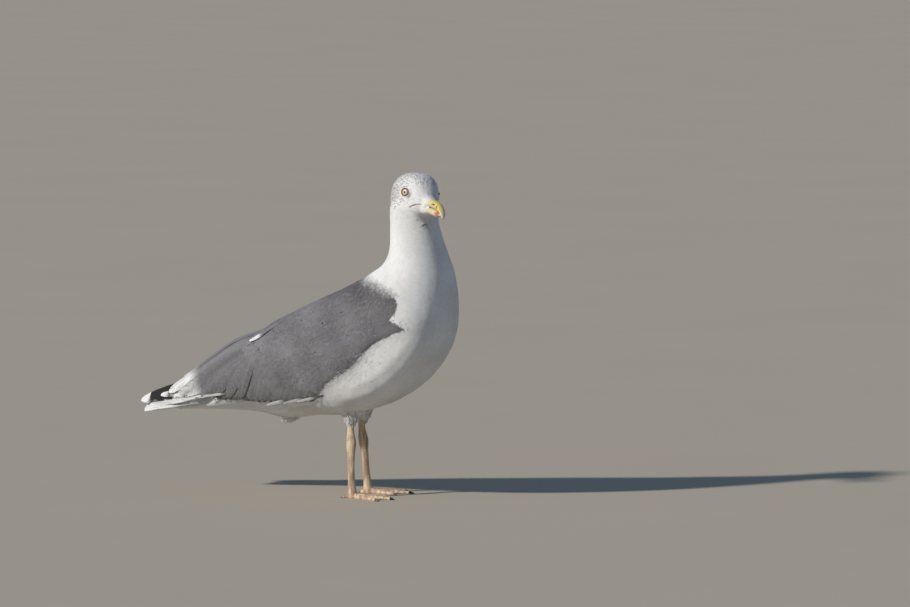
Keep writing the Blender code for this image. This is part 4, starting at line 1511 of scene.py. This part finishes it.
def make_bill(part):
    """One half of the bill, with its nostrils cut in, and its marks and its painted shade as fields."""
    name = "bill_" + part
    bill = remeshed(joined_copy(name + "_horn", [name]), BILL_VOXEL, 6)
    displaced(bill, BILL_FULLER)
    points = vertex_places(bill)
    local = in_head(points)
    x, side, z = local.T
    upper = part == "upper"
    # painted shade in the nostril's opening
    nostril = soft_spot(x, z, NOSTRIL, NOSTRIL_SIZE) * upper * (np.abs(side) > NOSTRIL_OUT)
    middle = np.array(HEAD_CENTRE) + np.outer(x, HEAD_AHEAD)
    inwards = unit(middle + np.outer(z, HEAD_UP) - points)
    points += inwards * (NOSTRIL_DEPTH * nostril)[:, None]
    bill.data.vertices.foreach_set("co", points.ravel())
    bill.data.update()
    bill.data.shade_smooth()
    rim = soft_spot(x, z, NOSTRIL_RIM, NOSTRIL_RIM_SIZE) * upper
    tip = np.clip((x - BILL_PALE_FROM) / BILL_PALE_FADE, 0, 1)
    (base_x, base_z), (x_fade, z_fade), strength = BILL_BASE
    base = np.clip((base_x - x) / x_fade, 0, 1) * np.clip((base_z - z) / z_fade, 0, 1) * strength
    pale = np.maximum.reduce([rim, tip, base, np.full(len(x), 0.0 if upper else LOWER_PALE)])
    red = soft_spot(x, z, RED_SPOT, RED_SPOT_SIZE) * (RED_ABOVE if upper else RED_BELOW)
    # painted shade along the mouth, in the gap between the two halves
    line = np.clip(1 - np.abs(z - np.interp(x, *zip(*MOUTH_LINE))) / MOUTH_HALF_WIDTH, 0, 1) * MOUTH_SHADE
    line *= (x < MOUTH_ENDS[1]) * np.clip((x - MOUTH_ENDS[0]) / MOUTH_FADE, 0, 1)
    core = soft_spot(x, z, RED_SPOT_CORE, RED_SPOT_CORE_SIZE) * RED_SPOT_DARK
    mark = soft_spot(x, z, BILL_MARK, BILL_MARK_SIZE) * BILL_MARK_DARK * upper
    # dark holds the painted shade of the nostrils and the mouth line, and the real dark core of the red spot
    # and the mark above it
    dark = np.maximum.reduce([nostril, line, core, mark])
    set_fields(bill, pale=np.clip(pale, 0, 1), red=red, dark=np.clip(dark, 0, 1))
    ready(bill, [name], HORN)


def make_bill_base():
    """Short feathers that run out over the sides of the bill."""
    muzzle = joined_copy("muzzle", ["head", "bill_upper", "bill_lower"])
    over = surface_of(closed_over(muzzle, MUZZLE_VOXEL, MUZZLE_CLOSING, 3))
    roots, out = over.scatter(MUZZLE_CANDIDATES)
    local = in_head(roots)
    edge = np.interp(local[:, 2], *zip(*BILL_FEATHER_EDGE)) + MUZZLE_RAGGED * RNG.standard_normal(len(roots))
    covered = (local[:, 0] > MUZZLE_FROM) & (local[:, 0] < edge)
    roots, out = roots[covered], out[covered]
    chosen = spaced(roots, np.full(len(roots), MUZZLE_SPACING))
    roots, out = roots[chosen], out[chosen]
    lengths = MUZZLE_LENGTH * (1 + 0.15 * RNG.standard_normal(len(roots)))
    lie = flat_on(np.broadcast_to(-HEAD_AHEAD, roots.shape) + 0.12 * RNG.standard_normal(roots.shape), out)
    feathers = Plumage(TUFT).grow(over, roots, lie, lengths, MUZZLE_WIDTH * lengths, **MUZZLE_COAT)
    feathers.mapped_at(skin_map(roots))
    ready(feathers.piece("coat_bill_base"), ["head"], PLUMAGE)


def placed(obj, matrix):
    """Moves an object's mesh to its place and leaves the object at the origin."""
    obj.matrix_world = Matrix()
    obj.data.transform(matrix)
    obj.data.update()
    obj.data.shade_smooth()
    return obj


def eye_frame(side):
    """Frame at the eye solid's centre, its +Z out of the head through the pupil."""
    sign = SIDES[side]
    x, y, z = EYE_PLACE
    turn = HEAD.to_3x3()
    out = turn @ Vector((EYE_AXIS[0], sign * EYE_AXIS[1], EYE_AXIS[2])).normalized()
    along = out.cross(turn.col[2]).normalized()
    axes = Matrix((along, out.cross(along), out)).transposed().to_4x4()
    return Matrix.Translation(HEAD @ Vector((x - EYE_BACK, sign * y, z))) @ axes


def ring(name, radius, thickness, matrix):
    """A crinkled ring round the eye, longer along the head than it is high."""
    size = {"major_radius": radius, "minor_radius": thickness, "major_segments": 64, "minor_segments": 16}
    lids = add_shape(name, bpy.ops.mesh.primitive_torus_add, **size)
    for vertex in lids.data.vertices:
        around = math.atan2(vertex.co.y, vertex.co.x)
        vertex.co.z = vertex.co.z * RING_HEIGHT - RING_DIP * math.cos(2 * around)
        vertex.co *= 1 + CRINKLE_DEPTH * math.sin(CRINKLES * around)
        vertex.co.x *= LID_LENGTH
    return placed(lids, matrix)


def make_eye(side):
    """The eyeball, the red lids round it and the white rim round the lids."""
    outwards = (EYEBALL_OUT, LID_OUT, BROW_OUT)
    eyeball, lids, brow = [eye_frame(side) @ Matrix.Translation((0, 0, out)) for out in outwards]
    size = {"segments": 48, "ring_count": 48, "radius": EYEBALL_RADIUS}
    ball = add_shape("eyeball_" + side, bpy.ops.mesh.primitive_uv_sphere_add, **size)
    set_fields(ball, from_axis=np.hypot(*vertex_places(ball)[:, :2].T))
    ready(placed(ball, eyeball), ["eye_" + side], EYE)
    nodes = ["eye_" + side, "head"]
    ready(ring("eyelids_" + side, LID_RADIUS, LID_THICKNESS, lids), nodes, LIDS)
    ready(ring("eye_rim_" + side, BROW_RADIUS, BROW_THICKNESS, brow), nodes, PLUMAGE)


def make_gape(side):
    """The bare edge of the mouth that runs back from the bill below the eye."""
    sign = SIDES[side]
    across = HEAD.to_3x3() @ Vector((0, -sign, 0))
    curve = bpy.data.curves.new("gape_" + side, "CURVE")
    curve.dimensions = "3D"
    curve.bevel_depth = 1.0
    curve.bevel_resolution = 2
    curve.use_fill_caps = True
    line = curve.splines.new("POLY")
    line.points.add(GAPE_STEPS)
    for k, point in enumerate(line.points):
        f = k / GAPE_STEPS
        x = GAPE_LINE[0][0] + (GAPE_LINE[-1][0] - GAPE_LINE[0][0]) * f
        z = float(np.interp(x, *zip(*GAPE_LINE)))
        place = surface.tree.ray_cast(HEAD @ Vector((x, sign * 0.05, z)), across)[0]
        point.co = (*(place - across * GAPE_OUT), 1)
        point.radius = GAPE_THIN + GAPE_SWELLING * math.sin(math.pi * (1 - f) ** 1.5) ** 0.7
    only(add_object("gape_" + side, curve))
    bpy.ops.object.convert(target="MESH")
    bpy.context.object.data.shade_smooth()
    ready(bpy.context.object, ["head"], GAPE)


def make_claws(side):
    """The last few millimetres of each toe as a dark claw, a little larger than the skin there."""
    foot = "foot_" + side
    points = vertex_places(NODES[foot])
    whole = remeshed(joined_copy("toes", [foot]), TOE_VOXEL, 2)
    displaced(whole, CLAW_OVER_SKIN)
    for toe, (angle, length) in CLAWS.items():
        a = math.radians(angle)
        way = Vector((math.cos(a), SIDES[side] * math.sin(a), 0))
        tip = Vector(points[np.argmax(points @ np.array(way))])
        claw = add_object(f"claw_{toe}_{side}", whole.data.copy())
        bm = bmesh.new()
        bm.from_mesh(claw.data)
        everything = bm.verts[:] + bm.edges[:] + bm.faces[:]
        cut = {"plane_co": tip - way * length, "plane_no": way, "clear_inner": True}
        plane = bmesh.ops.bisect_plane(bm, geom=everything, **cut)
        rim = [e for e in plane["geom_cut"] if isinstance(e, bmesh.types.BMEdge)]
        bmesh.ops.edgeloop_fill(bm, edges=rim)
        bm.to_mesh(claw.data)
        bm.free()
        keep_island(claw, lambda island: -min((v.co - tip).length for v in island))
        claw.data.shade_smooth()
        ready(claw, [foot], CLAW)
    bpy.data.objects.remove(whole)


# ---------------------------------------------------------------- camera, light and floor


def ray(azimuth, elevation):
    """The direction from the bird to a camera or a lamp."""
    a, e = math.radians(azimuth), math.radians(elevation)
    return Vector((math.sin(a) * math.cos(e), -math.cos(a) * math.cos(e), math.sin(e)))


def look_back(obj, target, way, distance):
    """Puts a camera or a lamp at a distance from the target, and turns it to face it."""
    obj.location = target + way * distance
    obj.rotation_euler = (-way).to_track_quat("-Z", "Y").to_euler()
    return obj


def make_camera():
    """The camera, aimed at a point above the feet and to their right."""
    back = ray(*VIEW)
    right = Vector((math.cos(math.radians(VIEW[0])), math.sin(math.radians(VIEW[0])), 0))
    target = Vector(BETWEEN_FEET) + right * AIM[0] + back.cross(right) * AIM[1]
    data = bpy.data.cameras.new("camera")
    data.lens, data.sensor_width, data.clip_end = LENS, 36, 200
    bpy.context.scene.camera = look_back(add_object("camera", data), target, back, CAMERA_DISTANCE)


def make_key():
    """The sun, from the camera's left."""
    data = bpy.data.lights.new("key", "SUN")
    data.energy, data.color, data.angle = KEY_STRENGTH, KEY_COLOUR, KEY_ANGLE
    look_back(add_object("key", data), Vector(), ray(*KEY_FROM), KEY_DISTANCE)


def make_stage():
    """A plain floor under an even sky."""
    floor = add_shape("floor", bpy.ops.mesh.primitive_plane_add, size=FLOOR_SIZE)
    n = Nodes("floor")
    floor.data.materials.append(n.finish(n.mix(n.noise(3.0), *FLOOR_COLOURS), 0.9))
    floor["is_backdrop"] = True
    world = bpy.data.worlds.new("studio")
    world.use_nodes = True
    background = world.node_tree.nodes["Background"]
    background.inputs["Color"].default_value = (*SKY_COLOUR, 1)
    background.inputs["Strength"].default_value = SKY_STRENGTH
    bpy.context.scene.world = world
    bpy.context.scene.view_settings.view_transform = "Standard"


# ---------------------------------------------------------------- the bird

# Pieces of the white coat: name, from and up to this height, nodes
WHITE_COATS = (
    ("neck", 0.20, 1.0, ["neck", "trunk"]),
    ("breast", 0.145, 0.20, ["trunk"]),
    ("belly", 0.0, 0.145, ["trunk", "thigh_left", "thigh_right"]),
)
# Hanging tufts: name; from round this place x, |y|, z; within this; towards x, |y|, z; spread; length; nodes
TUFTS = (
    ("thigh_tufts", (0.0725, 0.0245, 0.1015), 0.0165, (0.0735, 0.0238, 0.0865), 0.0012, 0.017, both("thigh")),
    ("vent_tuft", (-0.0080, 0.0060, 0.0965), 0.0130, (-0.0195, 0.0040, 0.0885), 0.0040, 0.014, ["trunk"]),
)
# Shapes of feathers
TUFT = feather_pattern(4, 0.72, root_width=0.6, tip_power=2.8)
COVERT = feather_pattern(11, 0.80, root_width=0.6, tip_power=2.8)
LOCK = feather_pattern(2, 0.4, root_width=0.4, tip_power=2.0)
WING_FEATHER = feather_pattern(26, 0.95, root_width=0.8, tip_power=5.0, columns=2, sweep=0.10)
FLIGHT_FEATHER = feather_pattern(44, 0.95, root_width=0.75, tip_power=5.0, columns=3, sweep=0.09)

PLUMAGE = plumage_material()
LEG = leg_material()
HORN = horn_material()
EYE = eye_material()
LIDS = plain_material("eyelids", *LID_COLOURS, 0.55)
GAPE = plain_material("gape", *GAPE_COLOURS, 0.5)
CLAW = plain_material("claw", *CLAW_COLOURS, 0.35)

hull = make_hull()
surface = Surface(hull)
rear_surface = make_rear()
skin = make_skin()
skin_map = skin_map_of(skin)
paint_skin(skin)

points, normals = surface.scatter(CANDIDATES)
ways, lengths = lie_of(points, normals)
lengths = short_of_eyes(points, lengths)
head_part = head_share(points) > 0.5
ragged_edge = 0.0006 * waves(points, 0.0035, 3) + 0.0003 * RNG.standard_normal(len(points))
shown_at = points + ways * (0.85 * lengths + ragged_edge)[:, None]
grey_part = side_of_outline(shown_at, GREY_OUTLINE) & ~head_part
grey_shares = grey_share(shown_at, ways) * ~head_part
good = clear_of_face(points)

head_coat = coat("coat_head", head_part, TUFT, 0.20, 0.27, HEAD_COAT, least=0.0010, streaks=True)
ready(head_coat, ["head"], PLUMAGE)
white_part = ~head_part & ~grey_part
for name, low, high, nodes in WHITE_COATS:
    here = white_part & (points[:, 2] >= low) & (points[:, 2] < high)
    white_coat = coat("coat_" + name, here, TUFT, 0.145, 0.34, BODY_COAT, scale=0.86)
    ready(white_coat, nodes, PLUMAGE)
for side, sign in SIDES.items():
    here = grey_part & (points[:, 1] * sign >= 0)
    nodes = ["trunk", "wing_" + side]
    grey_coat = coat("coat_grey_" + side, here, COVERT, 0.15, 0.25, GREY_COAT, contrast=1.0)
    ready(grey_coat, nodes, PLUMAGE)
    # the fine strands over the grey are much lighter than the coat: painted highlights along the lie of the
    # wing
    locks("strands_" + side, 0.05 * here, 0.0110, 0.00050, 0.0003, (4.0, 8.0), nodes)
    make_tertials(side)
    make_secondaries(side)
    make_white_tips(side)
    make_tail_side(side)
    make_primaries(side)
    make_eye(side)
    make_gape(side)
    make_claws(side)
loose_share = np.clip(looseness(points) / 0.0008, 0, 1) * ~grey_part
nodes = ["trunk", *both("thigh")]
locks("loose_strands", 0.40 * loose_share, 0.0130, 0.00035, 0.0004, (1.0, 1.5), nodes)
for tuft in TUFTS:
    hanging(*tuft)
head_streaks()
make_tail()
make_bill("upper")
make_bill("lower")
make_bill_base()
bpy.data.objects.remove(hull)

make_camera()
make_key()
make_stage()

low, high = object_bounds()
